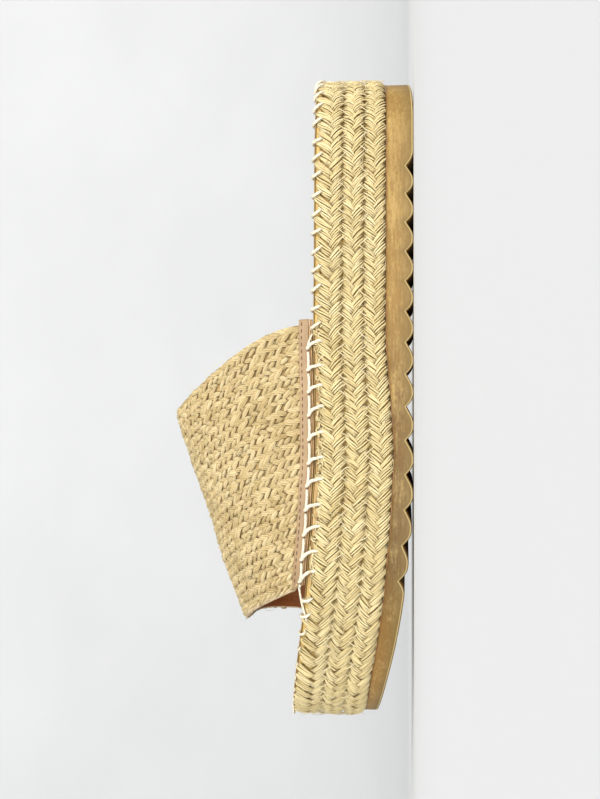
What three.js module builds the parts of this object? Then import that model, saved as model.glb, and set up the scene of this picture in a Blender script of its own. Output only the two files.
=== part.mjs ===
// Platform espadrille slide for the left foot: a rippled rubber outsole, a platform core with a three-row
// jute braid round its side, an insole, one woven jute upper that is open at the toe and at the back, and a
// leather foxing strip along each base edge of the upper.
// Millimetres, +Z up, toe towards +Y, inner (medial) side of the foot towards +X.
// While the pieces are made, y runs from 0 at the heel end, x = 0 is the middle of the heel and z = 0 is
// the floor.

import * as THREE from "three";

// Platform sizes
const shoeLength = 266;
const ballWidth = 94;
const toeSpring = 15.6;
const outsoleSide = 10.6;
const braidWidth = 27.6;
const braidThickness = 4.6;
const braidRows = 3;
const seamDepth = 1.5;
const rowFullness = 1.4;
const topRoll = 1.3;
const insoleThickness = 2.4;
const padCrown = 0.9;
const edgeRadius = 0.9;

// Tread sizes
const grooveCount = 14;
const grooveDepth = 2.8;
const grooveRampLength = 6;
const crestFlat = 0.16;
const crestPlace = 0.57;
const crestRoundness = 1.7;
const firstPitchToLast = 0.78;

// Upper sizes
const instepHeight = 60;
const upperWall = 2.2;
const archFullness = 2.3;
const weaveRows = 20;
const weaveRaise = 0.6;
const rimRound = 0.5;
const stripRise = 1.5;
const stripRearHeight = 4.4;
const stripFrontHeight = 3.1;
const stripThickness = 1.1;
const stripOverhang = 2.5;

// How finely the curved pieces are divided
const platformStationCount = 44;
const braidTurnCount = 96;
const braidRowSpanCount = 4;
const upperSpanCount = 22;
const stripSpanCount = 26;
const archSpanCount = 72;
const outlinePointCount = 480;

// Clearances and insets from the outline of the platform, which is the crest line of the braid
const clearance = 0.3;
const outsoleInset = 1.9;
const insoleInset = 1.6;
const padInset = 9;
const upperInset = insoleInset + stripThickness + clearance;

// Outline of the platform: place along the length, and reach to each side as shares of the ball width.
const outlineRows = [
  { along: 0.025, lateral: 0.205, medial: 0.2 },
  { along: 0.07, lateral: 0.302, medial: 0.295 },
  { along: 0.14, lateral: 0.35, medial: 0.338 },
  { along: 0.22, lateral: 0.364, medial: 0.345 },
  { along: 0.33, lateral: 0.378, medial: 0.336 },
  { along: 0.45, lateral: 0.415, medial: 0.337 },
  { along: 0.56, lateral: 0.468, medial: 0.375 },
  { along: 0.65, lateral: 0.502, medial: 0.437 },
  { along: 0.73, lateral: 0.5, medial: 0.482 },
  { along: 0.81, lateral: 0.457, medial: 0.488 },
  { along: 0.88, lateral: 0.378, medial: 0.452 },
  { along: 0.94, lateral: 0.27, medial: 0.378 },
  { along: 0.98, lateral: 0.125, medial: 0.26 },
];
const toeTipAcross = 0.07;

// Side profile of the platform: rise of the tread line, height of the outsole and width of the braid, as
// shares of the toe spring, the outsole side and the braid width.
const sideRows = [
  { along: 0, ground: 0.15, outsole: 0.9, braid: 0.9 },
  { along: 0.04, ground: 0.03, outsole: 0.98, braid: 0.91 },
  { along: 0.08, ground: 0, outsole: 1, braid: 0.92 },
  { along: 0.4, ground: 0, outsole: 1, braid: 0.93 },
  { along: 0.5, ground: 0, outsole: 0.82, braid: 0.97 },
  { along: 0.58, ground: 0, outsole: 0.7, braid: 1 },
  { along: 0.66, ground: 0.02, outsole: 0.77, braid: 1 },
  { along: 0.72, ground: 0.1, outsole: 0.77, braid: 1 },
  { along: 0.78, ground: 0.22, outsole: 0.73, braid: 1 },
  { along: 0.85, ground: 0.41, outsole: 0.69, braid: 1 },
  { along: 0.92, ground: 0.67, outsole: 0.6, braid: 0.99 },
  { along: 1, ground: 1, outsole: 0.44, braid: 0.98 },
];

// Ridge of the upper: its rise above the insole as a share of the instep height, and its place across as
// a share of the ball width, towards the medial side.
const ridgeRows = [
  { along: 0.38, rise: 1.03, across: 0.02 },
  { along: 0.52, rise: 1, across: 0.03 },
  { along: 0.58, rise: 0.925, across: 0.038 },
  { along: 0.67, rise: 0.76, across: 0.05 },
  { along: 0.75, rise: 0.62, across: 0.06 },
  { along: 0.85, rise: 0.41, across: 0.07 },
  { along: 0.92, rise: 0.32, across: 0.075 },
];

// Share of the upper's girth at each base that the foxing strip lies on, where the weave isn't raised.
const stripZone = 0.06;

// Cut edges of the upper, as shares of the length, where they meet the base and the ridge.
const upperCut = {
  rearBase: 0.391,
  rearRidge: 0.519,
  frontLateral: 0.767,
  frontRidge: 0.843,
  frontMedial: 0.857,
};
const rearCutExponent = 2.1;

// Places of the first and the last groove of the tread, as shares of the length.
const grooveSpan = { first: 0.154, last: 0.761 };

// Smooth function of the place along the length through one column of a table, with no overshoot.
function columnOf(rows, column) {
  const at = rows.map((row) => row.along);
  const value = rows.map((row) => row[column]);
  const slope = at.slice(1).map((a, i) => (value[i + 1] - value[i]) / (a - at[i]));
  const tangent = value.map((_, i) => {
    if (i === 0) return slope[0];
    if (i === value.length - 1) return slope[i - 1];
    if (slope[i - 1] * slope[i] <= 0) return 0;
    return (2 * slope[i - 1] * slope[i]) / (slope[i - 1] + slope[i]);
  });
  return (along) => {
    const inside = THREE.MathUtils.clamp(along, at[0], at[at.length - 1]);
    const i = Math.max(0, Math.min(at.length - 2, at.findIndex((a) => a >= inside) - 1));
    const span = at[i + 1] - at[i];
    const t = (inside - at[i]) / span;
    const t2 = t * t;
    const t3 = t2 * t;
    return (
      (2 * t3 - 3 * t2 + 1) * value[i] +
      (t3 - 2 * t2 + t) * span * tangent[i] +
      (3 * t2 - 2 * t3) * value[i + 1] +
      (t3 - t2) * span * tangent[i + 1]
    );
  };
}

// Heights of the platform's layers over the floor at a place y
const groundShare = columnOf(sideRows, "ground");
const outsoleShare = columnOf(sideRows, "outsole");
const braidShare = columnOf(sideRows, "braid");
const treadLine = (y) => toeSpring * groundShare(y / shoeLength);
const outsoleTop = (y) => treadLine(y) + outsoleSide * outsoleShare(y / shoeLength);
const braidBottom = (y) => outsoleTop(y) + clearance;
const braidTop = (y) => braidBottom(y) + braidWidth * braidShare(y / shoeLength);
const insoleBottom = (y) => braidTop(y) + clearance;
const insoleTop = (y) => insoleBottom(y) + insoleThickness;
const upperBase = (y) => insoleTop(y) + clearance;

// Closed outline of the platform seen from above, moved inwards by an inset.
const outlineCurve = new THREE.CatmullRomCurve3(
  [
    new THREE.Vector3(0, 0, 0),
    ...outlineRows.map((row) => new THREE.Vector3(row.medial * ballWidth, row.along * shoeLength, 0)),
    new THREE.Vector3(toeTipAcross * ballWidth, shoeLength, 0),
    ...outlineRows
      .map((row) => new THREE.Vector3(-row.lateral * ballWidth, row.along * shoeLength, 0))
      .reverse(),
  ],
  true,
  "centripetal",
);
outlineCurve.arcLengthDivisions = outlinePointCount;
outlineCurve.updateArcLengths();

// Point of the outline at a share of its way round, moved inwards.
function outlinePoint(turn, inset) {
  const share = ((turn % 1) + 1) % 1;
  const forward = outlineCurve.getTangentAt(share);
  const inward = new THREE.Vector3(-forward.y, forward.x, 0);
  return outlineCurve.getPointAt(share).addScaledVector(inward, inset);
}

// Outline ring of an inset, with the reach to both sides at any y.
function makeRing(inset) {
  const points = [];
  for (let i = 0; i < outlinePointCount; i++) points.push(outlinePoint(i / outlinePointCount, inset));
  const low = points.reduce((a, b) => (b.y < a.y ? b : a));
  const high = points.reduce((a, b) => (b.y > a.y ? b : a));
  const reach = (y) => {
    if (y <= low.y) return { lateral: low.x, medial: low.x };
    if (y >= high.y) return { lateral: high.x, medial: high.x };
    const crossings = [];
    points.forEach((a, i) => {
      const b = points[(i + 1) % points.length];
      if ((a.y - y) * (b.y - y) > 0 || a.y === b.y) return;
      crossings.push(THREE.MathUtils.lerp(a.x, b.x, (y - a.y) / (b.y - a.y)));
    });
    return { lateral: Math.min(...crossings), medial: Math.max(...crossings) };
  };
  return { heel: low.y, toe: high.y, reach };
}

// Closed solid through sections that are loops with the same even number of points. Points that fall
// together are joined. An open run of sections is closed by a ladder of faces across each end loop.
function solidThrough(sections, joinsUp) {
  const numberOf = new Map();
  const positions = [];
  const indexOf = (p) => {
    const key = [p.x, p.y, p.z].map((v) => v.toFixed(3)).join();
    if (!numberOf.has(key)) {
      numberOf.set(key, numberOf.size);
      positions.push(p.x, p.y, p.z);
    }
    return numberOf.get(key);
  };
  const loops = sections.map((section) => section.map(indexOf));
  const faces = [];
  const addFace = (a, b, c) => {
    if (a !== b && b !== c && c !== a) faces.push(a, b, c);
  };
  const addQuad = (a, b, c, d) => {
    addFace(a, b, c);
    addFace(a, c, d);
  };
  const count = loops[0].length;
  const spans = joinsUp ? loops.length : loops.length - 1;
  for (let i = 0; i < spans; i++) {
    const near = loops[i];
    const far = loops[(i + 1) % loops.length];
    for (let k = 0; k < count; k++) addQuad(near[k], near[(k + 1) % count], far[(k + 1) % count], far[k]);
  }
  if (!joinsUp) {
    const first = loops[0];
    const last = loops[loops.length - 1];
    for (let k = 0; k < count / 2 - 1; k++) {
      addQuad(first[k], first[count - 1 - k], first[count - 2 - k], first[k + 1]);
      addQuad(last[k], last[k + 1], last[count - 2 - k], last[count - 1 - k]);
    }
  }
  const corner = (i) => new THREE.Vector3().fromArray(positions, 3 * faces[i]);
  let sixVolumes = 0;
  for (let i = 0; i < faces.length; i += 3) sixVolumes += corner(i).dot(corner(i + 1).cross(corner(i + 2)));
  if (sixVolumes < 0) faces.reverse();
  const geometry = new THREE.BufferGeometry();
  geometry.setAttribute("position", new THREE.Float32BufferAttribute(positions, 3));
  geometry.setIndex(faces);
  geometry.computeVertexNormals();
  return geometry;
}

// Places along a ring from heel to toe, closer together where its ends turn.
function placesAlong(ring) {
  const endCrowding = 0.65;
  return Array.from({ length: platformStationCount + 1 }, (_, i) => {
    const share = i / platformStationCount;
    const eased = (1 - Math.cos(Math.PI * share)) / 2;
    return THREE.MathUtils.lerp(ring.heel, ring.toe, THREE.MathUtils.lerp(share, eased, endCrowding));
  });
}

// Places of the tread's grooves, with a pitch that grows evenly towards the toe.
function grooveAt(index) {
  const last = grooveCount - 1;
  const growth = (1 - firstPitchToLast) / (1 + firstPitchToLast);
  const share = index / last;
  const eased = share * (1 - growth) + share * share * growth;
  return shoeLength * THREE.MathUtils.lerp(grooveSpan.first, grooveSpan.last, eased);
}

// Rise of one lug's tread at a share of the way from one groove to the next: a rounded crest with a small
// flat, and sharp grooves beside it.
function lugRise(share) {
  const warped = Math.pow(share, Math.log(0.5) / Math.log(crestPlace));
  const off = Math.max(0, Math.abs(2 * warped - 1) - crestFlat) / (1 - crestFlat);
  return grooveDepth * Math.pow(off, crestRoundness);
}

// Stations of the outsole: y, and the rise of its tread there.
function treadStations(ring) {
  const lugShares = [0, 0.14, 0.3, 0.48, 0.64, 0.78, 0.9];
  const rampShares = [1, 0.6, 0.25, 0];
  const stations = [];
  const firstGroove = grooveAt(0);
  const lastGroove = grooveAt(grooveCount - 1);
  for (const y of placesAlong(ring)) {
    const isPlain = y < firstGroove - grooveRampLength || y > lastGroove + grooveRampLength;
    if (isPlain) stations.push({ y, rise: 0 });
  }
  for (const share of rampShares) {
    const rise = grooveDepth * (1 - share) * (1 - share);
    stations.push({ y: firstGroove - grooveRampLength * share, rise });
    if (share < 1) stations.push({ y: lastGroove + grooveRampLength * share, rise });
  }
  stations.push({ y: lastGroove + grooveRampLength, rise: 0 });
  for (let lug = 0; lug < grooveCount - 1; lug++) {
    for (const share of lugShares) {
      if (lug + share === 0) continue;
      const y = THREE.MathUtils.lerp(grooveAt(lug), grooveAt(lug + 1), share);
      stations.push({ y, rise: lugRise(share) });
    }
  }
  return stations.sort((a, b) => a.y - b.y);
}

function makeOutsole() {
  const ring = makeRing(outsoleInset);
  const sections = treadStations(ring).map(({ y, rise }) => {
    const { lateral, medial } = ring.reach(y);
    const bevel = Math.min(edgeRadius, (medial - lateral) / 3);
    const low = treadLine(y) + rise;
    const high = outsoleTop(y);
    return [
      new THREE.Vector3(lateral + bevel, y, low),
      new THREE.Vector3(lateral, y, low + bevel),
      new THREE.Vector3(lateral, y, high),
      new THREE.Vector3(medial, y, high),
      new THREE.Vector3(medial, y, low + bevel),
      new THREE.Vector3(medial - bevel, y, low),
    ];
  });
  return solidThrough(sections, false);
}

// Platform core, which carries the insole and has the braid round it.
function makeMidsole() {
  const ring = makeRing(braidThickness + clearance);
  const sections = placesAlong(ring).map((y) => {
    const { lateral, medial } = ring.reach(y);
    return [
      new THREE.Vector3(lateral, y, braidBottom(y)),
      new THREE.Vector3(lateral, y, braidTop(y)),
      new THREE.Vector3(medial, y, braidTop(y)),
      new THREE.Vector3(medial, y, braidBottom(y)),
    ];
  });
  return solidThrough(sections, false);
}

// Section of the braid: share of its width upwards, and distance in from the crest line.
function braidSection() {
  const outer = [];
  const spans = braidRows * braidRowSpanCount;
  for (let k = 0; k <= spans; k++) {
    const up = k / spans;
    const inRow = (k % braidRowSpanCount) / braidRowSpanCount;
    const seam = seamDepth * Math.pow(1 - Math.sin(Math.PI * inRow), rowFullness);
    const roll = topRoll * Math.pow(Math.max(0, up * braidRows - (braidRows - 1)), 2);
    outer.push({ up, inset: seam + roll });
  }
  return [{ up: 0, inset: braidThickness }, ...outer, { up: 1, inset: braidThickness }];
}

function makeBraidWrap() {
  const profile = braidSection();
  const sections = Array.from({ length: braidTurnCount }, (_, i) =>
    profile.map(({ up, inset }) => {
      const p = outlinePoint(i / braidTurnCount, inset);
      return p.setZ(THREE.MathUtils.lerp(braidBottom(p.y), braidTop(p.y), up));
    }),
  );
  return solidThrough(sections, true);
}

function makeInsole() {
  const ring = makeRing(insoleInset);
  const padRing = makeRing(padInset);
  const sections = placesAlong(ring).map((y) => {
    const edge = ring.reach(y);
    const bevel = Math.min(edgeRadius, (edge.medial - edge.lateral) / 3);
    const pad = padRing.reach(y);
    const hasPad = y > padRing.heel && y < padRing.toe;
    const padded = hasPad ? pad : { lateral: edge.lateral + bevel, medial: edge.medial - bevel };
    const crown = hasPad ? padCrown * Math.min(1, (pad.medial - pad.lateral) / (ballWidth / 2)) : 0;
    const middle = (padded.lateral + padded.medial) / 2;
    const low = insoleBottom(y);
    const high = insoleTop(y);
    const across = (x, z) => new THREE.Vector3(x, y, z);
    const shoulder = { inwards: 0.4, rise: 0.8 * crown };
    return [
      across(edge.lateral, low),
      across(edge.lateral, high - bevel),
      across(edge.lateral + bevel, high),
      across(padded.lateral, high),
      across(THREE.MathUtils.lerp(padded.lateral, middle, shoulder.inwards), high + shoulder.rise),
      across(middle, high + crown),
      across(THREE.MathUtils.lerp(padded.medial, middle, shoulder.inwards), high + shoulder.rise),
      across(padded.medial, high),
      across(edge.medial - bevel, high),
      across(edge.medial, high - bevel),
      across(edge.medial, low),
      across(middle, low),
    ];
  });
  return solidThrough(sections, false);
}

// Outer face of the upper without its weave. A section at y is an arch of two elliptic quarters from the
// lateral base over the ridge to the medial base.
const upperRing = makeRing(upperInset);
const ridgeRise = columnOf(ridgeRows, "rise");
const ridgeAcross = columnOf(ridgeRows, "across");

function archAt(y) {
  const { lateral, medial } = upperRing.reach(y);
  const ridge = ridgeAcross(y / shoeLength) * ballWidth;
  const height = ridgeRise(y / shoeLength) * instepHeight;
  const points = [];
  for (let k = 0; k <= archSpanCount; k++) {
    const angle = (Math.PI * k) / archSpanCount;
    const side = angle < Math.PI / 2 ? lateral - ridge : medial - ridge;
    const out = Math.pow(Math.abs(Math.cos(angle)), 2 / archFullness);
    const up = Math.pow(Math.max(0, Math.sin(angle)), 2 / archFullness);
    points.push(new THREE.Vector3(ridge + side * out, y, upperBase(y) + height * up));
  }
  const lengths = [0];
  for (let k = 1; k <= archSpanCount; k++) lengths.push(lengths[k - 1] + points[k].distanceTo(points[k - 1]));
  return { points, lengths, total: lengths[archSpanCount] };
}

// Point of the arch at a share of its own length, from the lateral base at 0 to the medial base at 1.
function archPoint(arch, over) {
  const length = THREE.MathUtils.clamp(over, 0, 1) * arch.total;
  const k = Math.max(1, arch.lengths.findIndex((l) => l >= length));
  const share = (length - arch.lengths[k - 1]) / (arch.lengths[k] - arch.lengths[k - 1]);
  return arch.points[k - 1].clone().lerp(arch.points[k], share);
}

// Place along the length of the upper's cut edges and of the weave rows between them.
function upperPlace(row, over) {
  const rise = Math.sin(Math.PI * over);
  const { rearBase, rearRidge, frontLateral, frontRidge, frontMedial } = upperCut;
  const rear = rearBase + (rearRidge - rearBase) * Math.pow(rise, rearCutExponent);
  const frontBase = over < 0.5 ? frontLateral : frontMedial;
  const front = frontBase + (frontRidge - frontBase) * rise;
  return shoeLength * THREE.MathUtils.lerp(rear, front, row);
}

function upperSurface(row, over) {
  return archPoint(archAt(upperPlace(row, over)), over);
}

// Point a distance out from the upper's face. Row runs from the rear edge at 0 to the front edge at 1.
function upperPoint(row, over, out) {
  const nudge = 0.004;
  const back = Math.max(0, over - nudge);
  const ahead = Math.min(1, over + nudge);
  const acrossWay = upperSurface(row, ahead).sub(upperSurface(row, back));
  const alongWay = upperSurface(row + nudge, over).sub(upperSurface(row - nudge, over));
  const outward = acrossWay.cross(alongWay).normalize();
  return upperSurface(row, over).addScaledVector(outward, out);
}

function makeUpper() {
  const overs = [0];
  for (let k = 0; k <= upperSpanCount; k++) {
    overs.push(THREE.MathUtils.lerp(stripZone, 1 - stripZone, k / upperSpanCount));
  }
  overs.push(1);
  const loopAt = (row, raise, outerOff, innerOff) => {
    const outer = overs.map((over) => {
      const woven = over > overs[1] && over < overs[overs.length - 2];
      return upperPoint(row, over, (woven ? raise : 0) - outerOff);
    });
    const inner = overs.map((over) => upperPoint(row, over, innerOff - upperWall));
    return [...outer, ...inner.reverse()];
  };
  const rimRow = rimRound / ((upperCut.frontRidge - upperCut.rearRidge) * shoeLength);
  const sections = [loopAt(-rimRow, 0, rimRound, rimRound)];
  const halfRows = 2 * weaveRows;
  for (let k = 0; k <= halfRows; k++) sections.push(loopAt(k / halfRows, (k % 2) * weaveRaise, 0, 0));
  sections.push(loopAt(1 + rimRow, 0, rimRound, rimRound));
  return solidThrough(sections, false);
}

// Foxing strip over the upper's base on one side, which starts a little behind the upper's rear edge.
function makeStrip(isMedial) {
  const edgeSoftness = { low: 0.12, high: 0.88 };
  const upperSpan = (upperCut.frontLateral - upperCut.rearBase) * shoeLength;
  const firstRow = -stripOverhang / upperSpan;
  const sections = Array.from({ length: stripSpanCount + 1 }, (_, i) => {
    const row = THREE.MathUtils.lerp(firstRow, 1, i / stripSpanCount);
    const arch = archAt(upperPlace(row, isMedial ? 1 : 0)).total;
    const height = THREE.MathUtils.lerp(stripRearHeight, stripFrontHeight, i / stripSpanCount);
    const over = (share) => (isMedial ? 1 : 0) + ((isMedial ? -1 : 1) * (stripRise + height * share)) / arch;
    const innerFace = clearance;
    const outerFace = clearance + stripThickness;
    return [
      upperPoint(row, over(0), innerFace),
      upperPoint(row, over(1), innerFace),
      upperPoint(row, over(1), outerFace - stripThickness / 3),
      upperPoint(row, over(edgeSoftness.high), outerFace),
      upperPoint(row, over(edgeSoftness.low), outerFace),
      upperPoint(row, over(0), outerFace - stripThickness / 3),
    ];
  });
  return solidThrough(sections, false);
}

const juteColour = 0xd8c08e;
const leatherColour = 0xd3ab82;
const cloth = (color) => new THREE.MeshStandardMaterial({ color, roughness: 0.95, metalness: 0 });

function makePiece(name, geometry, material) {
  const mesh = new THREE.Mesh(geometry, material);
  mesh.name = name;
  return mesh;
}

const shoe = new THREE.Group();
shoe.add(
  makePiece("outsole", makeOutsole(), new THREE.MeshStandardMaterial({ color: 0xc79a55, roughness: 0.7 })),
  makePiece("midsole", makeMidsole(), new THREE.MeshStandardMaterial({ color: 0xe6dcc4, roughness: 0.9 })),
  makePiece("braid_wrap", makeBraidWrap(), cloth(juteColour)),
  makePiece("insole", makeInsole(), new THREE.MeshStandardMaterial({ color: 0x8a4f25, roughness: 0.6 })),
  makePiece("upper", makeUpper(), cloth(juteColour)),
  makePiece("strip_lateral", makeStrip(false), new THREE.MeshStandardMaterial({ color: leatherColour })),
  makePiece("strip_medial", makeStrip(true), new THREE.MeshStandardMaterial({ color: leatherColour })),
);

// The shoe stands with the middle of its own box over the origin.
const box = new THREE.Box3().setFromObject(shoe);
const middle = box.getCenter(new THREE.Vector3());
shoe.position.set(-middle.x, -middle.y, -box.min.z);

export default shoe;
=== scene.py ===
"""Looks of a platform espadrille slide for the left foot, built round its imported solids.

The making sizes are in millimetres in the frame of the solids' source: y runs from 0 at the heel end to the
toe, x = 0 is the middle of the heel with the inner side of the foot towards +x, and z = 0 is the floor.
"""
import math
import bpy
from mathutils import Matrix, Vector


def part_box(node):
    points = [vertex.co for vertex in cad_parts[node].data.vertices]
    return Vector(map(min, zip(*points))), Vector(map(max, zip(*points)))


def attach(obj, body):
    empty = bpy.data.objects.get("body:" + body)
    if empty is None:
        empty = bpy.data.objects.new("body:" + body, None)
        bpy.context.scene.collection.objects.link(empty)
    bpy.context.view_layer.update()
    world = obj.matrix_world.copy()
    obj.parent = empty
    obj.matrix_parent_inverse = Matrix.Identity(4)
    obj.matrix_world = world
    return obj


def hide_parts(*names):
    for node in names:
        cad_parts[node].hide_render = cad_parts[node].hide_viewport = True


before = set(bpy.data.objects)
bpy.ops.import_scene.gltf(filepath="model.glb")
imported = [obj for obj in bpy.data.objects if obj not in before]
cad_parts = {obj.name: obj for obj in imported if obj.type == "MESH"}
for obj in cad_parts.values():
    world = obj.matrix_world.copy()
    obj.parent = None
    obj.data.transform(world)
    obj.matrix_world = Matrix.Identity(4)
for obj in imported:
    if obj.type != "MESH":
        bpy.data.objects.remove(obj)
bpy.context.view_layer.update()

from types import SimpleNamespace

import bpy
import numpy as np
from mathutils import Matrix

chance = np.random.default_rng(20)
MM = 0.001

# Platform sizes, as in the source of the solids
SHOE_LENGTH = 266
BALL_WIDTH = 94
TOE_SPRING = 15.6
OUTSOLE_SIDE = 10.6
BRAID_WIDTH = 27.6
BRAID_THICKNESS = 4.6
BRAID_ROWS = 3
SEAM_DEPTH = 1.5
INSOLE_THICKNESS = 2.4
PAD_CROWN = 0.9
EDGE_RADIUS = 0.9
CLEARANCE = 0.3
OUTSOLE_INSET = 1.9
INSOLE_INSET = 1.6
PAD_INSET = 9

# Tread sizes
GROOVE_COUNT = 14
GROOVE_DEPTH = 2.8
GROOVE_RAMP = 6
CREST_FLAT = 0.16
CREST_PLACE = 0.57
CREST_ROUNDNESS = 1.7
FIRST_PITCH_TO_LAST = 0.78
FIRST_GROOVE = 0.154
LAST_GROOVE = 0.761

# Upper sizes
INSTEP_HEIGHT = 60
UPPER_WALL = 2.2
ARCH_FULLNESS = 2.3
STRIP_RISE = 1.5
STRIP_REAR_HEIGHT = 4.4
STRIP_FRONT_HEIGHT = 3.1
STRIP_THICKNESS = 1.1
STRIP_OVERHANG = 2.5
UPPER_INSET = INSOLE_INSET + STRIP_THICKNESS + CLEARANCE

# Along the length, reach to the lateral side and reach to the medial side
OUTLINE_ROWS = (
    (0.025, 0.205, 0.2), (0.07, 0.302, 0.295), (0.14, 0.35, 0.338), (0.22, 0.364, 0.345),
    (0.33, 0.378, 0.336), (0.45, 0.415, 0.337), (0.56, 0.468, 0.375), (0.65, 0.502, 0.437),
    (0.73, 0.5, 0.482), (0.81, 0.457, 0.488), (0.88, 0.378, 0.452), (0.94, 0.27, 0.378),
    (0.98, 0.125, 0.26),
)
TOE_TIP_ACROSS = 0.07

# Along the length, rise of the ground, height of the outsole and width of the braid
SIDE_ROWS = (
    (0, 0.15, 0.9, 0.9), (0.04, 0.03, 0.98, 0.91), (0.08, 0, 1, 0.92), (0.4, 0, 1, 0.93),
    (0.5, 0, 0.82, 0.97), (0.58, 0, 0.7, 1), (0.66, 0.02, 0.77, 1), (0.72, 0.1, 0.77, 1),
    (0.78, 0.22, 0.73, 1), (0.85, 0.41, 0.69, 1), (0.92, 0.67, 0.6, 0.99), (1, 1, 0.44, 0.98),
)

# Along the length, height of the upper's ridge and its place across
RIDGE_ROWS = (
    (0.38, 1.03, 0.02), (0.52, 1, 0.03), (0.58, 0.925, 0.038), (0.67, 0.76, 0.05),
    (0.75, 0.62, 0.06), (0.85, 0.41, 0.07), (0.92, 0.32, 0.075),
)

# Cut edges of the upper, as shares of the length
REAR_BASE = 0.391
REAR_RIDGE = 0.519
FRONT_LATERAL = 0.767
FRONT_RIDGE = 0.843
FRONT_MEDIAL = 0.857
REAR_CUT_EXPONENT = 2.1

# Braid: arms of yarns run in from the seams of each row and dive under at its middle. Staggers are shares
# of the pitch between arms, and SURFACED_AT and DIVES_FROM are places along an arm, from 0 to 1.
RELIEF_POWER = 2.4
FOOT_ROLL = 0.5
EDGE_ROLL = 0.55
EDGE_RISE = 0.6
ROW_STAGGER = 0.37
SIDE_STAGGER = 0.25
GROUND_SINK = 1.45
ARM_PITCH = 4.4
ARM_ADVANCE = 6.0
ARM_STEEPNESS = 1.12
ARM_HALF_WIDTH = 1.34
ARM_HALF_DEPTH = 0.45
ARM_END_SIZE = 0.84
ARM_CROWN = 0.45
ARM_CROWN_POWER = 0.7
ARM_CROSSING = 0.1
SEAM_OVERLAP = 0.04
ARM_TWIST = 1.45
LOWER_ARM_TWIST = 0.4 * ARM_TWIST
SEAM_DIVE = 0.5
EDGE_DIVE = 0.12
MIDDLE_DIVE = 1.1
SURFACED_AT = 0.26
DIVES_FROM = 0.76
ARM_TONE_SHARE = 0.45
YARNS_PER_ARM = 6
YARN_SPACING = math.pi / 4
YARN_RADIUS = 0.39
YARN_END_SIZE = 0.78
YARN_SINK = 0.45
# SIDE_RISE and ARM_RISE set the braid's painted shade: how dark the sides of each yarn and the yarns at an
# arm's edges are painted.
SIDE_RISE = 0.36
ARM_RISE = 0.95
JUTE_TWIST = 1.1
ARM_SHAKE = SimpleNamespace(
    place=0.22, reach=0.05, bend=0.25, size=0.06, phase=0.4, angle=0.08, lift=0.1, radius=0.1
)

# Weave: a leaf's three values are its half length, its tuck in half-rows and its width
WEAVE_HALF_ROWS = 46
HALF_ROW = 2.09
ROW_OVERHANG = 0.012
LEAF_PITCH = 3.0
FLAT_LEAF = (2.6, 0.46, 1.12)
STEEP_LEAF = (1.8, 0.82, 1.06)
FRONT_LEAF_SIZE = 0.84
LEAF_FULLNESS = 0.7
LEAF_YARN_SPREAD = 0.6
STRIP_COVER = 0.75
LEAF_CREST = 0.3
LEAF_ARCH = 0.85
LEAF_TUCK = 0.7
LEAF_SINK = 0.1
LEAF_TONE_SHARE = 0.75
LEAF_TWIST = 0.9
LEAF_YARN_RADIUS = 0.52
LEAF_END_SIZE = 0.42
OUTER_YARN_DROP = 0.42
LEAF_SHAKE = SimpleNamespace(place=0.42, size=0.11, tilt=0.25, lift=0.15)

# Blanket stitches
PLAIN_STITCH = 7.35
UPPER_STITCH = 9.0
FIRST_UPPER_STITCH = 112.4
LATERAL_STITCHES = 11
MEDIAL_STITCHES = 13
REAR_STITCH_GAP = 7.6
FRONT_MEDIAL_GAP = 6.5
FRONT_LATERAL_GAP = 8.5
PLAIN_LEAN = 1.9
UPPER_LEAN = 3.0
TOE_SHORTENING = 0.86
THREAD_TWIST = 1.6
THREAD_FLATNESS = 0.8
RUN_DEPTH = -3.2
LAST_RUN = 5.5
AFTER_BAR = 1.3
BEFORE_BAR = 0.2
STITCH_SHAKE = SimpleNamespace(place=0.25, upper_place=0.35, lean=0.4)

# Places y where the toe's plain stitches get shorter, and where the braid rises over the insole's edge
SHORTER_STITCHES = (216, 236)
HIGHER_BRAID = (228, 240)

# Radii of the bars at their first and last end
PLAIN_RADII = (0.5, 0.84)
UPPER_RADII = (0.78, 0.56)
THINNEST_AT_TOE = 0.45

# Half width and half height of the runs, links and the dark marks of painted needle-hole shade
PLAIN_RUN = (0.5, 0.45)
UPPER_RUN = (0.52, 0.48)
LINK = (0.44, 0.44)
HOLE = (0.5, 0.22)
HOLE_LENGTH = 1.1
HOLE_AHEAD = 0.85

# Bar of a plain stitch: share of its lean, mm out of the crest line, mm over the insole's top
PLAIN_BAR = (
    (1.0, -0.7, -3.2), (0.9, 0.25, -2.5), (0.6, 0.4, -1.7), (0.3, -0.1, -0.6),
    (0.1, -0.95, 0.15), (0.0, -2.1, 0.75), (0.0, -3.2, 0.35),
)

# Bar of a stitch at the upper, on the strip: share of its lean, mm over the upper's base, mm out of the strip
UPPER_BAR_ON_STRIP = ((0.0, STRIP_RISE + 0.7, -0.5), (0.0, STRIP_RISE + 0.45, 0.45), (0.45, 0.6, 0.85))

# The rest of it on the braid, with the columns of a plain bar, and the links to the plain stitches, which
# have mm towards the toe as their first column
UPPER_BAR_ON_BRAID = ((0.85, -0.9, -0.9), (1.0, -0.1, -2.2), (1.0, 0.05, -3.0), (1.0, -1.0, -3.8))
REAR_LINK = ((-3, -1.4, 1.5), (-6.2, -2.6, 0.3))
FRONT_LINK = ((9, -1.5, 1.0), (13, -0.9, -0.6), (16.5, -0.4, -2.0))


def lerp(a, b, share):
    return a + (b - a) * share


def smooth_step(low, high, value):
    t = np.clip((value - low) / (high - low), 0, 1)
    return t * t * (3 - 2 * t)


def unit(vectors):
    return vectors / np.maximum(np.linalg.norm(vectors, axis=-1, keepdims=True), 1e-9)


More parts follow.
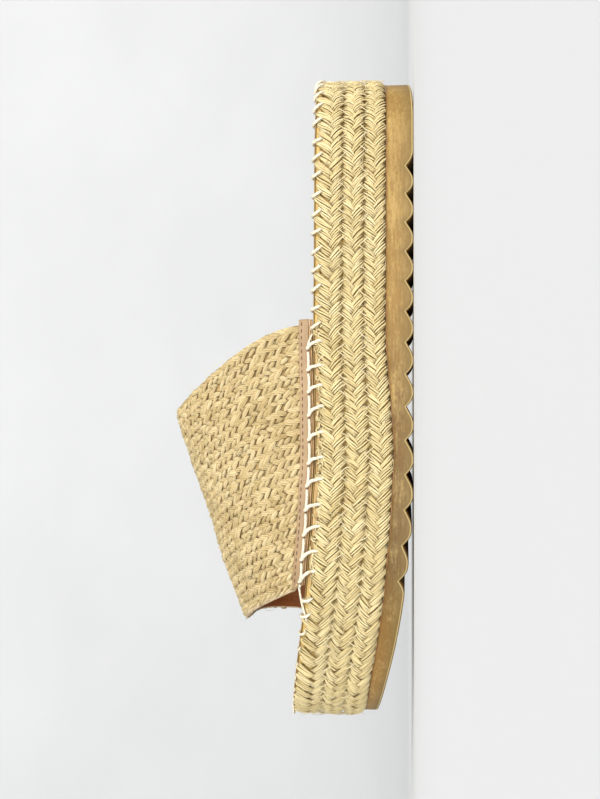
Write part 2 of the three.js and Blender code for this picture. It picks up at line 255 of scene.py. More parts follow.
def column_of(rows, index):
    """Smooth function of the place along the length through one column of a table, with no overshoot."""
    at = np.array([row[0] for row in rows], float)
    value = np.array([row[index] for row in rows], float)
    slope = np.diff(value) / np.diff(at)
    tangent = np.zeros(len(at))
    tangent[0], tangent[-1] = slope[0], slope[-1]
    product = slope[:-1] * slope[1:]
    total = np.where(product > 0, slope[:-1] + slope[1:], 1)
    tangent[1:-1] = np.where(product > 0, 2 * product / total, 0)

    def at_place(along):
        inside = np.clip(along, at[0], at[-1])
        i = np.clip(np.searchsorted(at, inside) - 1, 0, len(at) - 2)
        span = at[i + 1] - at[i]
        t = (inside - at[i]) / span
        return (
            (2 * t**3 - 3 * t**2 + 1) * value[i]
            + (t**3 - 2 * t**2 + t) * span * tangent[i]
            + (3 * t**2 - 2 * t**3) * value[i + 1]
            + (t**3 - t**2) * span * tangent[i + 1]
        )

    return at_place


ground_share = column_of(SIDE_ROWS, 1)
outsole_share = column_of(SIDE_ROWS, 2)
braid_share = column_of(SIDE_ROWS, 3)
ridge_rise = column_of(RIDGE_ROWS, 1)
ridge_across = column_of(RIDGE_ROWS, 2)


def tread_line(y):
    return TOE_SPRING * ground_share(y / SHOE_LENGTH)


def outsole_top(y):
    return tread_line(y) + OUTSOLE_SIDE * outsole_share(y / SHOE_LENGTH)


def braid_bottom(y):
    return outsole_top(y) + CLEARANCE


def braid_top(y):
    return braid_bottom(y) + BRAID_WIDTH * braid_share(y / SHOE_LENGTH)


def insole_bottom(y):
    return braid_top(y) + CLEARANCE


def insole_top(y):
    return insole_bottom(y) + INSOLE_THICKNESS


def upper_base(y):
    return insole_top(y) + CLEARANCE


def closed_curve(points, per_span):
    """Closed centripetal curve through the points, as a fine polyline."""
    count = len(points)
    out = []
    for i in range(count):
        p0, p1, p2, p3 = (points[(i + k - 1) % count] for k in range(4))
        d0, d1, d2 = (math.sqrt(np.linalg.norm(b - a)) for a, b in ((p0, p1), (p1, p2), (p2, p3)))
        t1 = ((p1 - p0) / d0 - (p2 - p0) / (d0 + d1) + (p2 - p1) / d1) * d1
        t2 = ((p2 - p1) / d1 - (p3 - p1) / (d1 + d2) + (p3 - p2) / d2) * d1
        t = (np.arange(per_span) / per_span)[:, None]
        out.append(p1 + t1 * t + (3 * (p2 - p1) - 2 * t1 - t2) * t**2 + (2 * (p1 - p2) + t1 + t2) * t**3)
    return np.concatenate(out)


def lengths_along(line):
    """Way along a line of points, at each of them."""
    steps = np.linalg.norm(np.diff(line, axis=0), axis=1)
    return np.concatenate([[0], np.cumsum(steps)])


def make_outline():
    """Outline of the platform as functions of a share of the way round, which starts at the heel."""
    medial = [np.array([m * BALL_WIDTH, a * SHOE_LENGTH]) for a, _, m in OUTLINE_ROWS]
    lateral = [np.array([-l * BALL_WIDTH, a * SHOE_LENGTH]) for a, l, _ in OUTLINE_ROWS]
    tip = np.array([TOE_TIP_ACROSS * BALL_WIDTH, SHOE_LENGTH])
    line = closed_curve([np.zeros(2), *medial, tip, *reversed(lateral)], 60)
    ring = np.vstack([line, line[:1]])
    return ring, lengths_along(ring)


OUTLINE, OUTLINE_LENGTHS = make_outline()
GIRTH = OUTLINE_LENGTHS[-1]


def outline_at(distance):
    wrapped = np.mod(distance, GIRTH)
    return np.stack([np.interp(wrapped, OUTLINE_LENGTHS, OUTLINE[:, k]) for k in (0, 1)], -1)


def outline_outward(distance):
    forward = unit(outline_at(distance + 0.5) - outline_at(distance - 0.5))
    return np.stack([forward[..., 1], -forward[..., 0]], -1)


def distance_at(y, is_medial):
    """Way round the outline, in mm from the heel end, of the point at y on one side."""
    toe = int(np.argmax(OUTLINE[:, 1]))
    if is_medial:
        return np.interp(y, OUTLINE[: toe + 1, 1], OUTLINE_LENGTHS[: toe + 1])
    return np.interp(y, OUTLINE[toe:, 1][::-1], OUTLINE_LENGTHS[toe:][::-1])


class Ring:
    """Outline moved inwards by an inset, with the reach to both sides at any y."""

    def __init__(self, inset):
        distance = np.linspace(0, GIRTH, 961)[:-1]
        points = outline_at(distance) - inset * outline_outward(distance)
        low, high = int(np.argmin(points[:, 1])), int(np.argmax(points[:, 1]))
        points = np.roll(points, -low, axis=0)
        high = (high - low) % len(points)
        self.heel, self.toe = points[0, 1], points[high, 1]
        self.medial_side = points[: high + 1]
        self.lateral_side = np.vstack([points[high:], points[:1]])[::-1]

    def reach(self, y):
        lateral = np.interp(y, self.lateral_side[:, 1], self.lateral_side[:, 0])
        medial = np.interp(y, self.medial_side[:, 1], self.medial_side[:, 0])
        return lateral, medial


def frame_shift():
    """Moves the source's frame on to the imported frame, by the braid's crest line."""
    turns = np.arange(96) / 96 * GIRTH
    low = outline_at(turns).min(axis=0)
    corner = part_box("braid_wrap")[0]
    return np.array([corner.x / MM - low[0], corner.y / MM - low[1], 0])


SHIFT = frame_shift()


def shakes(spread, *shape):
    """Random numbers round 0, in the given shape."""
    return chance.normal(0, spread, shape)


def picks(low, high, *shape):
    """Random numbers between two limits, in the given shape."""
    return chance.uniform(low, high, shape)


def link_object(name, data):
    made = bpy.data.objects.new(name, data)
    bpy.context.scene.collection.objects.link(made)
    return made


def set_values(mesh, name, values):
    kind = "FLOAT" if values.ndim == 1 else "FLOAT_VECTOR"
    attribute = mesh.attributes.new(name, kind, "POINT")
    attribute.data.foreach_set("value" if kind == "FLOAT" else "vector", values.astype(np.float32).ravel())


def add_piece(name, points, faces, material, replaced=(), values=None):
    """Makes a mesh of points in mm and lists of faces, each with one number of corners, and rides it."""
    mesh = bpy.data.meshes.new(name)
    loops = np.concatenate([f.ravel() for f in faces])
    sizes = np.concatenate([np.full(len(f), f.shape[1]) for f in faces])
    starts = np.concatenate([[0], np.cumsum(sizes)[:-1]])
    mesh.vertices.add(len(points))
    mesh.vertices.foreach_set("co", ((points + SHIFT) * MM).astype(np.float32).ravel())
    mesh.loops.add(len(loops))
    mesh.loops.foreach_set("vertex_index", loops.astype(np.int32))
    mesh.polygons.add(len(sizes))
    mesh.polygons.foreach_set("loop_start", starts.astype(np.int32))
    mesh.update(calc_edges=True)
    mesh.validate()
    mesh.polygons.foreach_set("use_smooth", np.ones(len(mesh.polygons), bool))
    for key, value in (values or {}).items():
        set_values(mesh, key, value)
    mesh.materials.append(material)
    piece = link_object(name, mesh)
    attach(piece, "root")
    if replaced:
        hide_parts(*replaced)
    return piece


def loft(sections, joins_up=False):
    """Points and faces of a closed solid through sections that are loops with as many points each."""
    count, around, _ = sections.shape
    index = np.arange(count * around).reshape(count, around)
    spans = count if joins_up else count - 1
    near = index[:spans]
    far = np.roll(index, -1, axis=0)[:spans]
    faces = [np.stack([near, np.roll(near, -1, 1), np.roll(far, -1, 1), far], -1).reshape(-1, 4)]
    if not joins_up:
        k = np.arange(around // 2 - 1)
        first, last = index[0], index[-1]
        faces.append(np.stack([first[k], first[around - 1 - k], first[around - 2 - k], first[k + 1]], -1))
        faces.append(np.stack([last[k], last[k + 1], last[around - 2 - k], last[around - 1 - k]], -1))
    faces = np.concatenate(faces)
    points = sections.reshape(-1, 3)
    a, b, c, d = (points[faces[:, k]] for k in range(4))
    volume = (a * np.cross(b, c)).sum() + (a * np.cross(c, d)).sum()
    return points, [faces[:, ::-1] if volume < 0 else faces]


class Strands:
    """Gathers many thin tubes into one joined mesh, with values that their materials read."""

    def __init__(self, sides):
        self.ring = 2 * math.pi * np.arange(sides) / sides
        self.points, self.sides, self.caps = [], [], []
        self.values = {"strand": [], "tone": [], "rise": []}
        self.size = 0

    def add(self, path, normal, wide, tone, high=None, twist=0.0, rise=None):
        """path and normal are (tubes, stations, 3) in mm, wide and high the tubes' half sizes.

        rise says how high each point lies on its tube: the jute materials paint low values with shade, as in
        a groove.
        """
        tubes, stations, _ = path.shape
        shape = (tubes, stations, len(self.ring))
        wide = np.broadcast_to(wide, (tubes, stations))[..., None]
        high = wide if high is None else np.broadcast_to(high, (tubes, stations))[..., None]
        along = unit(np.gradient(path, axis=1))
        side = unit(np.cross(along, normal))
        up = np.cross(side, along)
        points = path[:, :, None] + side[:, :, None] * (wide * np.cos(self.ring))[..., None]
        points = points + up[:, :, None] * (high * np.sin(self.ring))[..., None]
        gone = np.linalg.norm(np.diff(path, axis=1), axis=2).cumsum(axis=1)
        gone = np.concatenate([np.zeros((tubes, 1)), gone], axis=1)
        offset = picks(0, 100, tubes, 1)
        turned = self.ring + twist * gone[..., None]
        place = np.broadcast_to((gone + offset)[..., None], shape)
        rise = np.sin(self.ring) if rise is None else rise
        self.values["strand"].append(np.stack([place, np.cos(turned), np.sin(turned)], -1).reshape(-1, 3))
        self.values["tone"].append(np.repeat(np.broadcast_to(tone, (tubes,)), stations * len(self.ring)))
        self.values["rise"].append(np.broadcast_to(rise, shape).ravel())
        index = self.size + np.arange(math.prod(shape)).reshape(shape)
        following = np.roll(index, -1, axis=2)
        corners = [index[:, :-1], index[:, 1:], following[:, 1:], following[:, :-1]]
        self.sides.append(np.stack(corners, -1).reshape(-1, 4))
        self.caps.append(np.concatenate([index[:, 0], index[:, -1, ::-1]]))
        self.points.append(points.reshape(-1, 3))
        self.size += index.size

    def piece(self, name, material, slot=None):
        faces = [np.concatenate(self.sides), np.concatenate(self.caps)]
        values = {key: np.concatenate(value) for key, value in self.values.items()}
        return add_piece(name, np.concatenate(self.points), faces, material, values=values)


def colour(red, green, blue):
    """Linear colour of a screen colour from 0 to 255."""
    def linear(v):
        v /= 255
        return v / 12.92 if v <= 0.04045 else ((v + 0.055) / 1.055) ** 2.4

    return (linear(red), linear(green), linear(blue), 1)


class Paint:
    """A node material in the making. A stretch is one number for all three axes, or three numbers."""

    def __init__(self, name, roughness, **sockets):
        self.material = bpy.data.materials.new(name)
        self.material.use_nodes = True
        self.tree = self.material.node_tree
        self.shader = next(n for n in self.tree.nodes if n.type == "BSDF_PRINCIPLED")
        self.shader.inputs["Roughness"].default_value = roughness
        for key, value in sockets.items():
            self.shader.inputs[key.replace("_", " ")].default_value = value

    def feed(self, socket, value):
        """Links another node's output to the socket, or sets a plain value."""
        if isinstance(value, bpy.types.NodeSocket):
            self.tree.links.new(value, socket)
        else:
            socket.default_value = value

    def node(self, kind, inputs=None, **settings):
        made = self.tree.nodes.new(kind)
        for key, value in settings.items():
            setattr(made, key, value)
        for key, value in (inputs or {}).items():
            self.feed(made.inputs[key], value)
        return made

    def math(self, operation, a, b=0.0):
        return self.node("ShaderNodeMath", {0: a, 1: b}, operation=operation).outputs[0]

    def weighted(self, *terms):
        """Sum of the values, each times its weight."""
        parts = [self.math("MULTIPLY", value, weight) for value, weight in terms]
        total = parts[0]
        for part in parts[1:]:
            total = self.math("ADD", total, part)
        return total

    def stretched(self, vector, stretch):
        three = stretch * 3 if len(stretch) == 1 else stretch
        return self.node("ShaderNodeVectorMath", {0: vector, 1: three}, operation="MULTIPLY").outputs[0]

    def place(self, *stretch):
        """Object coordinates times a stretch, in 1/m."""
        return self.stretched(self.node("ShaderNodeTexCoord").outputs["Object"], stretch)

    def strand(self, *stretch):
        """Way along a strand in mm and direction round it, times a stretch."""
        read = self.node("ShaderNodeAttribute", attribute_name="strand")
        return self.stretched(read.outputs["Vector"], stretch)

    def value(self, name):
        return self.node("ShaderNodeAttribute", attribute_name=name).outputs["Fac"]

    def noise(self, vector, detail=3.0, roughness=0.6, scale=1.0):
        inputs = {"Vector": vector, "Scale": scale, "Detail": detail, "Roughness": roughness}
        return self.node("ShaderNodeTexNoise", inputs).outputs["Fac"]

    def cells(self, per_mm):
        inputs = {"Vector": self.place(per_mm / MM), "Scale": 1.0}
        return self.node("ShaderNodeTexVoronoi", inputs).outputs["Distance"]

    def ramp_of(self, value, stops):
        made = self.node("ShaderNodeValToRGB", {"Fac": value})
        line = made.color_ramp
        while len(line.elements) < len(stops):
            line.elements.new(0.5)
        for element, (place, shade) in zip(line.elements, stops):
            element.position = place
            element.color = shade
        return made.outputs["Color"]

    def ramp(self, value, *stops):
        """Colours by value: each stop has a place from 0 to 1 and a screen colour."""
        return self.ramp_of(value, [(place, colour(*shade)) for place, shade in stops])

    def mask(self, value, *stops):
        """Shares by value: each stop has a place from 0 to 1 and a share."""
        return self.ramp_of(value, [(place, (share, share, share, 1)) for place, share in stops])

    def mix(self, share, a, b, blend="MIX"):
        """Mixes shade b into shade a; b may be a screen colour."""
        made = self.node("ShaderNodeMix", data_type="RGBA", blend_type=blend)
        for number, value in ((0, share), (6, a), (7, colour(*b) if isinstance(b, tuple) else b)):
            self.feed(made.inputs[number], value)
        return made.outputs[2]

    def base(self, shade):
        self.tree.links.new(shade, self.shader.inputs["Base Color"])

    def bump(self, height, distance_mm, strength=1.0, below=None):
        inputs = {"Height": height, "Distance": distance_mm * MM, "Strength": strength}
        if below is not None:
            inputs["Normal"] = below
        made = self.node("ShaderNodeBump", inputs)
        self.tree.links.new(made.outputs["Normal"], self.shader.inputs["Normal"])
        return made.outputs["Normal"]


def jute_paint(name, dark, middle, light, groove_shade):
    """Spun plant fibre: streaks along each yarn, a tone for each yarn, brown flecks, and painted shade in the
    grooves between yarns and at the edges of arms.
    """
    brown = (128, 100, 56)
    p = Paint(name, 0.82, Specular_IOR_Level=0.22)
    fibre = p.noise(p.strand(0.55, 2.6, 2.6))
    patch = p.noise(p.place(60), 2.0, 0.5)
    tone = p.weighted((p.value("tone"), 0.46), (fibre, 0.52), (patch, 0.2))
    shade = p.ramp(tone, (0.3, dark), (0.6, middle), (0.88, light))
    speck = p.noise(p.strand(0.9, 1.4, 1.4), 2.0, 0.5, 1.3)
    spots = p.mask(speck, (0.66, 0), (0.76, 1))
    shade = p.mix(p.math("MULTIPLY", spots, 0.4), shade, brown)
    # Painted shade: points low on their yarn or at an arm's edge (low rise) are multiplied towards brown in
    # place of the shade between yarns; the last argument sets how strong it is.
    painted_groove_shade = p.mask(p.value("rise"), (0.12, 1), (0.72, 0))
    p.base(p.mix(p.math("MULTIPLY", painted_groove_shade, groove_shade), shade, brown, "MULTIPLY"))
    p.bump(p.noise(p.strand(0.7, 5.0, 5.0), 3.0, 0.65, 1.2), 0.32)
    return p.material


def mottled_paint(name, roughness, stretch, dark, light, bump=None, noise=(3.0, 0.6), **sockets):
    """Patches of two colours; bump is the height of their relief in mm and its strength."""
    p = Paint(name, roughness, **sockets)
    patch = p.noise(p.place(*stretch), *noise)
    p.base(p.ramp(patch, (0.3, dark), (0.7, light)))
    if bump:
        p.bump(patch, *bump)
    return p.material


def backing_paint(name, dark, light):
    """Straw ground that shows between the yarns."""
    return mottled_paint(name, 0.9, (900,), dark, light, (0.3, 1.0), Specular_IOR_Level=0.15)


def thread_paint():
    """White waxed thread, twisted of two plies, with painted shade along the line between them."""
    p = Paint("waxed_thread", 0.5, Specular_IOR_Level=0.4, Coat_Weight=0.12, Coat_Roughness=0.4)
    streak = p.noise(p.strand(0.5, 2.0, 2.0))
    split = p.node("ShaderNodeSeparateXYZ", {"Vector": p.strand(1.0)})
    ply = p.math("ABSOLUTE", split.outputs["Y"])
    shade = p.ramp(streak, (0.3, (204, 195, 170)), (0.62, (226, 218, 198)))
    # Painted shade: the line between the two plies, where ply is near 0, is darkened towards a grey tan.
    p.base(p.mix(p.mask(ply, (0.02, 0.6), (0.3, 0)), shade, (180, 164, 128)))
    p.bump(p.math("ADD", p.math("MULTIPLY", streak, 0.3), ply), 0.16, 0.9)
    return p.material


def strip_paint():
    """Smooth pinkish tan leather with a fine grain."""
    p = Paint("strip_leather", 0.5, Specular_IOR_Level=0.4)
    patch = p.noise(p.place(170, 60, 170), 3.0, 0.55)
    grain = p.noise(p.place(2600))
    tone = p.weighted((patch, 0.7), (grain, 0.3))
    p.base(p.ramp(tone, (0.3, (134, 109, 78)), (0.55, (153, 126, 91)), (0.8, (165, 138, 102))))
    p.bump(grain, 0.08, 0.6)
    return p.material


def machine_thread_paint():
    p = Paint("machine_thread", 0.7)
    streak = p.noise(p.strand(2.0), 2.0, 0.5)
    p.base(p.ramp(streak, (0.3, (74, 48, 26)), (0.7, (122, 86, 54))))
    return p.material


def outsole_paint():
    """Golden tan rubber with fine streaks along the shoe, mottled, and darker towards the tread, with painted
    shade at the ball and painted light on the underside.
    """
    p = Paint("outsole_rubber", 0.6, Specular_IOR_Level=0.35)
    streak = p.noise(p.place(900, 110, 900), 4.0)
    grain = p.noise(p.place(1500, 700, 1500))
    mottle = p.noise(p.place(70, 40, 70), 3.0, 0.55)
    tone = p.weighted((streak, 0.4), (grain, 0.25), (mottle, 0.4))
    # Painted shade: the side darkens from the waist to the ball, where it tapers away from the light, and
    # lightens again at the toe.
    shaded_heel_to_toe = (
        (0.0, (150, 121, 64)), (0.36, (146, 116, 60)), (0.5, (96, 72, 31)),
        (0.74, (72, 53, 20)), (0.9, (138, 106, 54)), (1.0, (150, 117, 62)),
    )
    shade = p.ramp(p.value("along"), *shaded_heel_to_toe)
    shade = p.mix(p.mask(tone, (0.38, 0.8), (0.58, 0)), shade, (128, 94, 44))
    shade = p.mix(p.mask(tone, (0.5, 0), (0.7, 0.7)), shade, (184, 154, 94))
    shade = p.mix(p.mask(p.value("height"), (0.0, 0.8), (0.6, 0)), shade, (112, 91, 48))
    # Painted light: the underside gets a lighter tan, most of all inside the grooves, to lift the shade
    # there.
    under = p.mask(p.value("under"), (0.35, 0), (0.9, 1))
    shade = p.mix(p.math("MULTIPLY", under, 0.75), shade, (160, 116, 54))
    p.base(p.mix(p.math("MULTIPLY", p.value("crest"), 0.8), shade, (206, 186, 132)))
    p.bump(grain, 0.1, 0.6, below=p.bump(streak, 0.12, 0.5))
    return p.material


def foam_paint():
    """Pale closed-cell foam of the platform core."""
    p = Paint("core_foam", 0.85)
    cells = p.cells(0.9)
    p.base(p.ramp(cells, (0.1, (222, 208, 178)), (0.7, (236, 226, 204))))
    p.bump(cells, 0.15, 0.5)
    return p.material


def board_paint():
    """Yellow-tan edge of the insole board, browner where the upper is sewn on."""
    p = Paint("insole_board", 0.6, Specular_IOR_Level=0.3)
    layer = p.noise(p.place(300, 60, 2600))
    plain = p.ramp(layer, (0.3, (172, 140, 76)), (0.6, (200, 168, 100)))
    sewn = p.ramp(layer, (0.35, (130, 100, 58)), (0.6, (196, 164, 112)))
    p.base(p.mix(p.value("sewn"), plain, sewn))
    p.bump(layer, 0.12, 0.6)
    return p.material


def leather_paint(name, roughness, pebbles_per_mm, dark, light, cut=None):
    """Leather with a pebbled grain; cut is the pair of colours at an edge that it may have."""
    p = Paint(name, roughness, Specular_IOR_Level=0.35)
    cells = p.cells(pebbles_per_mm)
    patch = p.noise(p.place(90), 3.0, 0.55)
    shade = p.ramp(p.weighted((cells, 0.35), (patch, 0.65)), (0.25, dark), (0.65, light))
    if cut:
        shade = p.mix(p.value("edge"), shade, p.ramp(patch, (0.3, cut[0]), (0.6, cut[1])))
    p.base(shade)
    p.bump(cells, 0.12, 0.5)
    return p.material


def seam_shade_paint():
    # Painted shade: dark brown for the strand that stands for the shadow line in the braid-to-outsole seam.
    return mottled_paint("seam_shade_line", 0.4, (400, 160, 400), (88, 56, 24), (138, 96, 50), (0.2, 0.6))


def floor_paint():
    return mottled_paint("pale_floor", 0.8, (3,), (221, 222, 222), (226, 227, 227), noise=(3.0, 0.5))


# The last number of each jute is the strength of its painted groove shade.
BRAID_JUTE = jute_paint("braid_jute", (208, 185, 128), (235, 216, 162), (247, 233, 188), 0.68)
WEAVE_JUTE = jute_paint("weave_jute", (180, 156, 104), (212, 190, 142), (234, 217, 172), 1.0)
PALE_JUTE = jute_paint("pale_jute", (204, 178, 138), (226, 202, 164), (238, 220, 190), 0.4)
HAIR_JUTE = jute_paint("hair_jute", (214, 194, 144), (236, 218, 168), (250, 238, 200), 0.2)
BRAID_GROUND = backing_paint("braid_backing", (130, 104, 56), (180, 152, 94))
WEAVE_GROUND = backing_paint("weave_backing", (158, 132, 84), (196, 169, 116))
THREAD = thread_paint()
STRIP_LEATHER = strip_paint()
MACHINE_THREAD = machine_thread_paint()
OUTSOLE_RUBBER = outsole_paint()
BOARD = board_paint()
SOCK_CUT = ((118, 96, 52), (148, 122, 70))
SOCK_LEATHER = leather_paint("sock_leather", 0.55, 1.1, (104, 68, 36), (136, 94, 56), SOCK_CUT)
LINING_LEATHER = leather_paint("lining_leather", 0.6, 1.25, (116, 60, 24), (146, 86, 42))
EDGE_LEATHER = leather_paint("edge_leather", 0.6, 5 / 3, (112, 84, 52), (158, 124, 82))
TAN_LAYER = leather_paint("tan_layer", 0.6, 5 / 3, (176, 142, 100), (206, 174, 130))
SEAM_SHADE = seam_shade_paint()


def braid_place(distance, up, out):
    """Point of the braid: mm round the outline, share of its width upwards, mm out of its crest line."""
    flat = outline_at(distance) + outline_outward(distance) * out[..., None]
    y = flat[..., 1]
    z = lerp(braid_bottom(y), braid_top(y), up)
    return np.concatenate([flat, z[..., None]], -1)


def braid_normal(distance):
    flat = outline_outward(distance)
    return np.concatenate([flat, np.zeros_like(flat[..., :1])], -1)


def row_relief(row, v):
    """Distance out of the crest line of a braid row's face, at v from -1 at its lower seam to 1."""
    relief = -SEAM_DEPTH * np.abs(v) ** RELIEF_POWER
    if row == BRAID_ROWS - 1:
        relief = np.where(v > 0, -EDGE_ROLL * np.clip(v, 0, 1) ** RELIEF_POWER, relief)
    if row == 0:
        relief = relief - FOOT_ROLL * np.clip(-v, 0, 1.1) ** 2
    return relief


def stitch_stations():
    """Ways round the outline of the plain stitches, and places y of the stitches at the upper."""
    lateral = FIRST_UPPER_STITCH + UPPER_STITCH * np.arange(LATERAL_STITCHES)
    medial = FIRST_UPPER_STITCH + UPPER_STITCH * np.arange(MEDIAL_STITCHES)
    rear_lateral = distance_at(FIRST_UPPER_STITCH - REAR_STITCH_GAP, False)
    rear_medial = distance_at(FIRST_UPPER_STITCH - REAR_STITCH_GAP, True)
    heel_run = rear_medial + GIRTH - rear_lateral
    heel_count = round(heel_run / PLAIN_STITCH)
    heel = rear_lateral + np.arange(heel_count + 1) * heel_run / heel_count
    front_medial = distance_at(medial[-1] + FRONT_MEDIAL_GAP, True)
    front_lateral = distance_at(lateral[-1] + FRONT_LATERAL_GAP, False)
    toe_count = round((front_lateral - front_medial) / PLAIN_STITCH)
    toe = np.linspace(front_medial, front_lateral, toe_count + 1)
    return heel, toe, lateral, medial


STITCHES = stitch_stations()


def edge_cover(distance):
    """How far the braid's upper edge covers the insole's edge: fully at the plain stitches, less between."""
    between, beside_upper, at_toe = 0.42, 0.25, 0.86
    heel, toe, _, _ = STITCHES
    wrapped = np.mod(distance, GIRTH)
    plain = np.mod(np.concatenate([heel, toe]), GIRTH)
    off = np.abs(wrapped[..., None] - plain)
    nearest = np.minimum(off, GIRTH - off).min(axis=-1)
    wave = np.cos(math.pi * np.clip(nearest / PLAIN_STITCH, 0, 0.5)) ** 2
    toe_share = smooth_step(*HIGHER_BRAID, outline_at(distance)[..., 1])
    cover = np.maximum(between + (1 - between) * wave, at_toe * toe_share)
    return np.where(nearest > PLAIN_STITCH, beside_upper, cover)


def bundle_tones(count, yarns, share):
    """Tones of bundles of yarns: a share for the whole bundle, the rest for each yarn of its own."""
    tones = picks(0.1, 0.9, count, 1) * share + picks(0, 1, count, yarns) * (1 - share)
    return tones.ravel()


def yarn_by_yarn(shape, *grids):
    """The grids widened to a shape of bundles, yarns and stations, with one row for each yarn."""
    bundles, yarns, stations = shape
    return [np.broadcast_to(grid, shape).reshape(bundles * yarns, stations) for grid in grids]


def add_arms(strands, row, side):
    """Arms of one braid row: side -1 runs in from its lower seam, side 1 from its upper one."""
    count = round(GIRTH / ARM_PITCH)
    pitch = GIRTH / count
    at_edge = side > 0 and row == BRAID_ROWS - 1
    t = np.linspace(0, 1, 6)[None, None, :]
    yarn = np.arange(YARNS_PER_ARM)[None, :, None]
    half_row = BRAID_WIDTH / BRAID_ROWS / 2
    slant = math.atan2(half_row * ARM_STEEPNESS, ARM_ADVANCE)
    start = (np.arange(count) + SIDE_STAGGER * side + ROW_STAGGER * row) * pitch
    start = start[:, None, None] + shakes(ARM_SHAKE.place, count, 1, 1)
    reach = ARM_ADVANCE * (1 + shakes(ARM_SHAKE.reach, count, 1, 1))
    bend = shakes(ARM_SHAKE.bend, count, 1, 1)
    size = 1 + shakes(ARM_SHAKE.size, count, 1, 1)
    plump = lerp(ARM_END_SIZE, 1, np.sin(math.pi * (0.12 + 0.83 * t)))
    phase = picks(-ARM_SHAKE.phase, ARM_SHAKE.phase, count, 1, 1) + yarn * YARN_SPACING - YARN_SPACING / 2
    turn = ARM_TWIST if side > 0 else LOWER_ARM_TWIST
    angle = phase + turn * (t - 0.5) + shakes(ARM_SHAKE.angle, count, YARNS_PER_ARM, 1)
    across = ARM_HALF_WIDTH * np.cos(angle) * plump * size
    begin = 1.0 + (EDGE_RISE * edge_cover(start) if at_edge else 0.0)
    v = side * (begin - (begin + ARM_CROSSING) * t) + side * across * math.cos(slant) / half_row
    v = np.clip(v, -1 - SEAM_OVERLAP, begin + SEAM_OVERLAP)
    distance = start - (reach * t + bend * np.sin(math.pi * t) + across * math.sin(slant))
    seam_dive = EDGE_DIVE if at_edge else SEAM_DIVE
    dive = MIDDLE_DIVE * smooth_step(DIVES_FROM, 1, t)
    dive = dive + seam_dive * (1 - smooth_step(0, SURFACED_AT, t))
    crown = ARM_CROWN * np.sin(math.pi * t) ** ARM_CROWN_POWER
    lift = shakes(ARM_SHAKE.lift, count, 1, 1) + ARM_HALF_DEPTH * (np.sin(angle) - 1)
    out = row_relief(row, v) + crown - dive + lift - YARN_SINK
    up = (row + (v + 1) / 2) / BRAID_ROWS
    vary = 1 + shakes(ARM_SHAKE.radius, count, YARNS_PER_ARM, 1)
    radius = YARN_RADIUS * lerp(YARN_END_SIZE, 1, np.sin(math.pi * t)) * vary
    # Painted shade: yarns near an arm's edges get a low rise, which the jute material darkens, so each arm
    # reads as rounded.
    in_arm = SIDE_RISE + ARM_RISE * np.sin(angle)
    shape = (count, YARNS_PER_ARM, t.size)
    distance, up, out, radius, in_arm = yarn_by_yarn(shape, distance, up, out, radius, in_arm)
    rise = np.minimum(lerp(SIDE_RISE, 1, np.sin(strands.ring)), in_arm[..., None])
    tone = bundle_tones(count, YARNS_PER_ARM, ARM_TONE_SHARE)
    path = braid_place(distance, up, out)
    strands.add(path, braid_normal(distance), radius, tone, twist=JUTE_TWIST, rise=rise)


def make_braid_row(row, name):
    """One plaited row: twisted strands that run in from both seams and cross over its middle."""
    strands = Strands(5)
    for side in (-1, 1):
        add_arms(strands, row, side)
    strands.piece(name, BRAID_JUTE, "jute_braid")


def make_braid_backing():
    """Band behind the strands, from the outsole up to the insole."""
    steps_per_row = 8
    ups = np.linspace(0, 1, BRAID_ROWS * steps_per_row + 1)
    relief = []
    for step in range(len(ups)):
        row = min(step // steps_per_row, BRAID_ROWS - 1)
        relief.append(row_relief(row, (step / steps_per_row - row) * 2 - 1))
    outs = np.concatenate([[-BRAID_THICKNESS], np.array(relief) - GROUND_SINK, [-BRAID_THICKNESS]])
    heights = np.concatenate([[0], ups, [1]])
    turns = np.linspace(0, GIRTH, 361)[:-1, None]
    sections = braid_place(np.broadcast_to(turns, (len(turns), len(heights))), heights, outs)
    points, faces = loft(sections, joins_up=True)
    add_piece("braid_ground", points, faces, BRAID_GROUND, ("braid_wrap",))


def make_seam_threads():
    """Thin pale threads that join the braid rows in a zigzag."""
    pitch = 8.2
    usual_reach = 3.4
    radius = 0.2
    kept_share = 0.85
    depth, bulge, end_dive = 0.6, 0.55, 0.5
    strands = Strands(5)
    count = round(GIRTH / pitch)
    t = np.linspace(0, 1, 7)[None, :]
    for seam in range(1, BRAID_ROWS):
        for way in (-1, 1):
            start = (np.arange(count) + (0.5 if way > 0 else 0)) * GIRTH / count
            start = start[:, None] + shakes(0.4, count, 1)
            reach = usual_reach * (1 + shakes(0.1, count, 1))
            distance = start + reach * t + shakes(0.5, count, 1) * np.sin(math.pi * t)
            up = (seam + way * (t * 2 - 1) * 0.25) / BRAID_ROWS
            out = -depth + bulge * np.sin(math.pi * t) ** 0.5 - end_dive * np.abs(2 * t - 1) ** 3
            path = braid_place(distance, up, out + shakes(0.08, count, 1))
            kept = picks(0, 1, count) < kept_share
            tone = picks(0.5, 1, kept.sum())
            strands.add(path[kept], braid_normal(distance[kept]), radius, tone)
    strands.piece("seam_threads", HAIR_JUTE, "jute_braid")


def make_seam_shade_line():
    # A dark strand in the seam between the braid and the outsole: painted shade of that crevice.
    inwards, rise, usual_radius = 0.15, 0.05, 0.27
    strands = Strands(6)
    distance = np.linspace(0, GIRTH, 361)[None, :]
    flat = outline_at(distance) - outline_outward(distance) * (OUTSOLE_INSET + inwards)
    z = outsole_top(flat[..., 1]) + rise
    path = np.concatenate([flat, z[..., None]], -1)
    radius = usual_radius + 0.08 * np.sin(distance * 0.9) + shakes(0.04, *distance.shape)
    strands.add(path, braid_normal(distance), radius, 0.5)
    strands.piece("seam_shade_line", SEAM_SHADE)


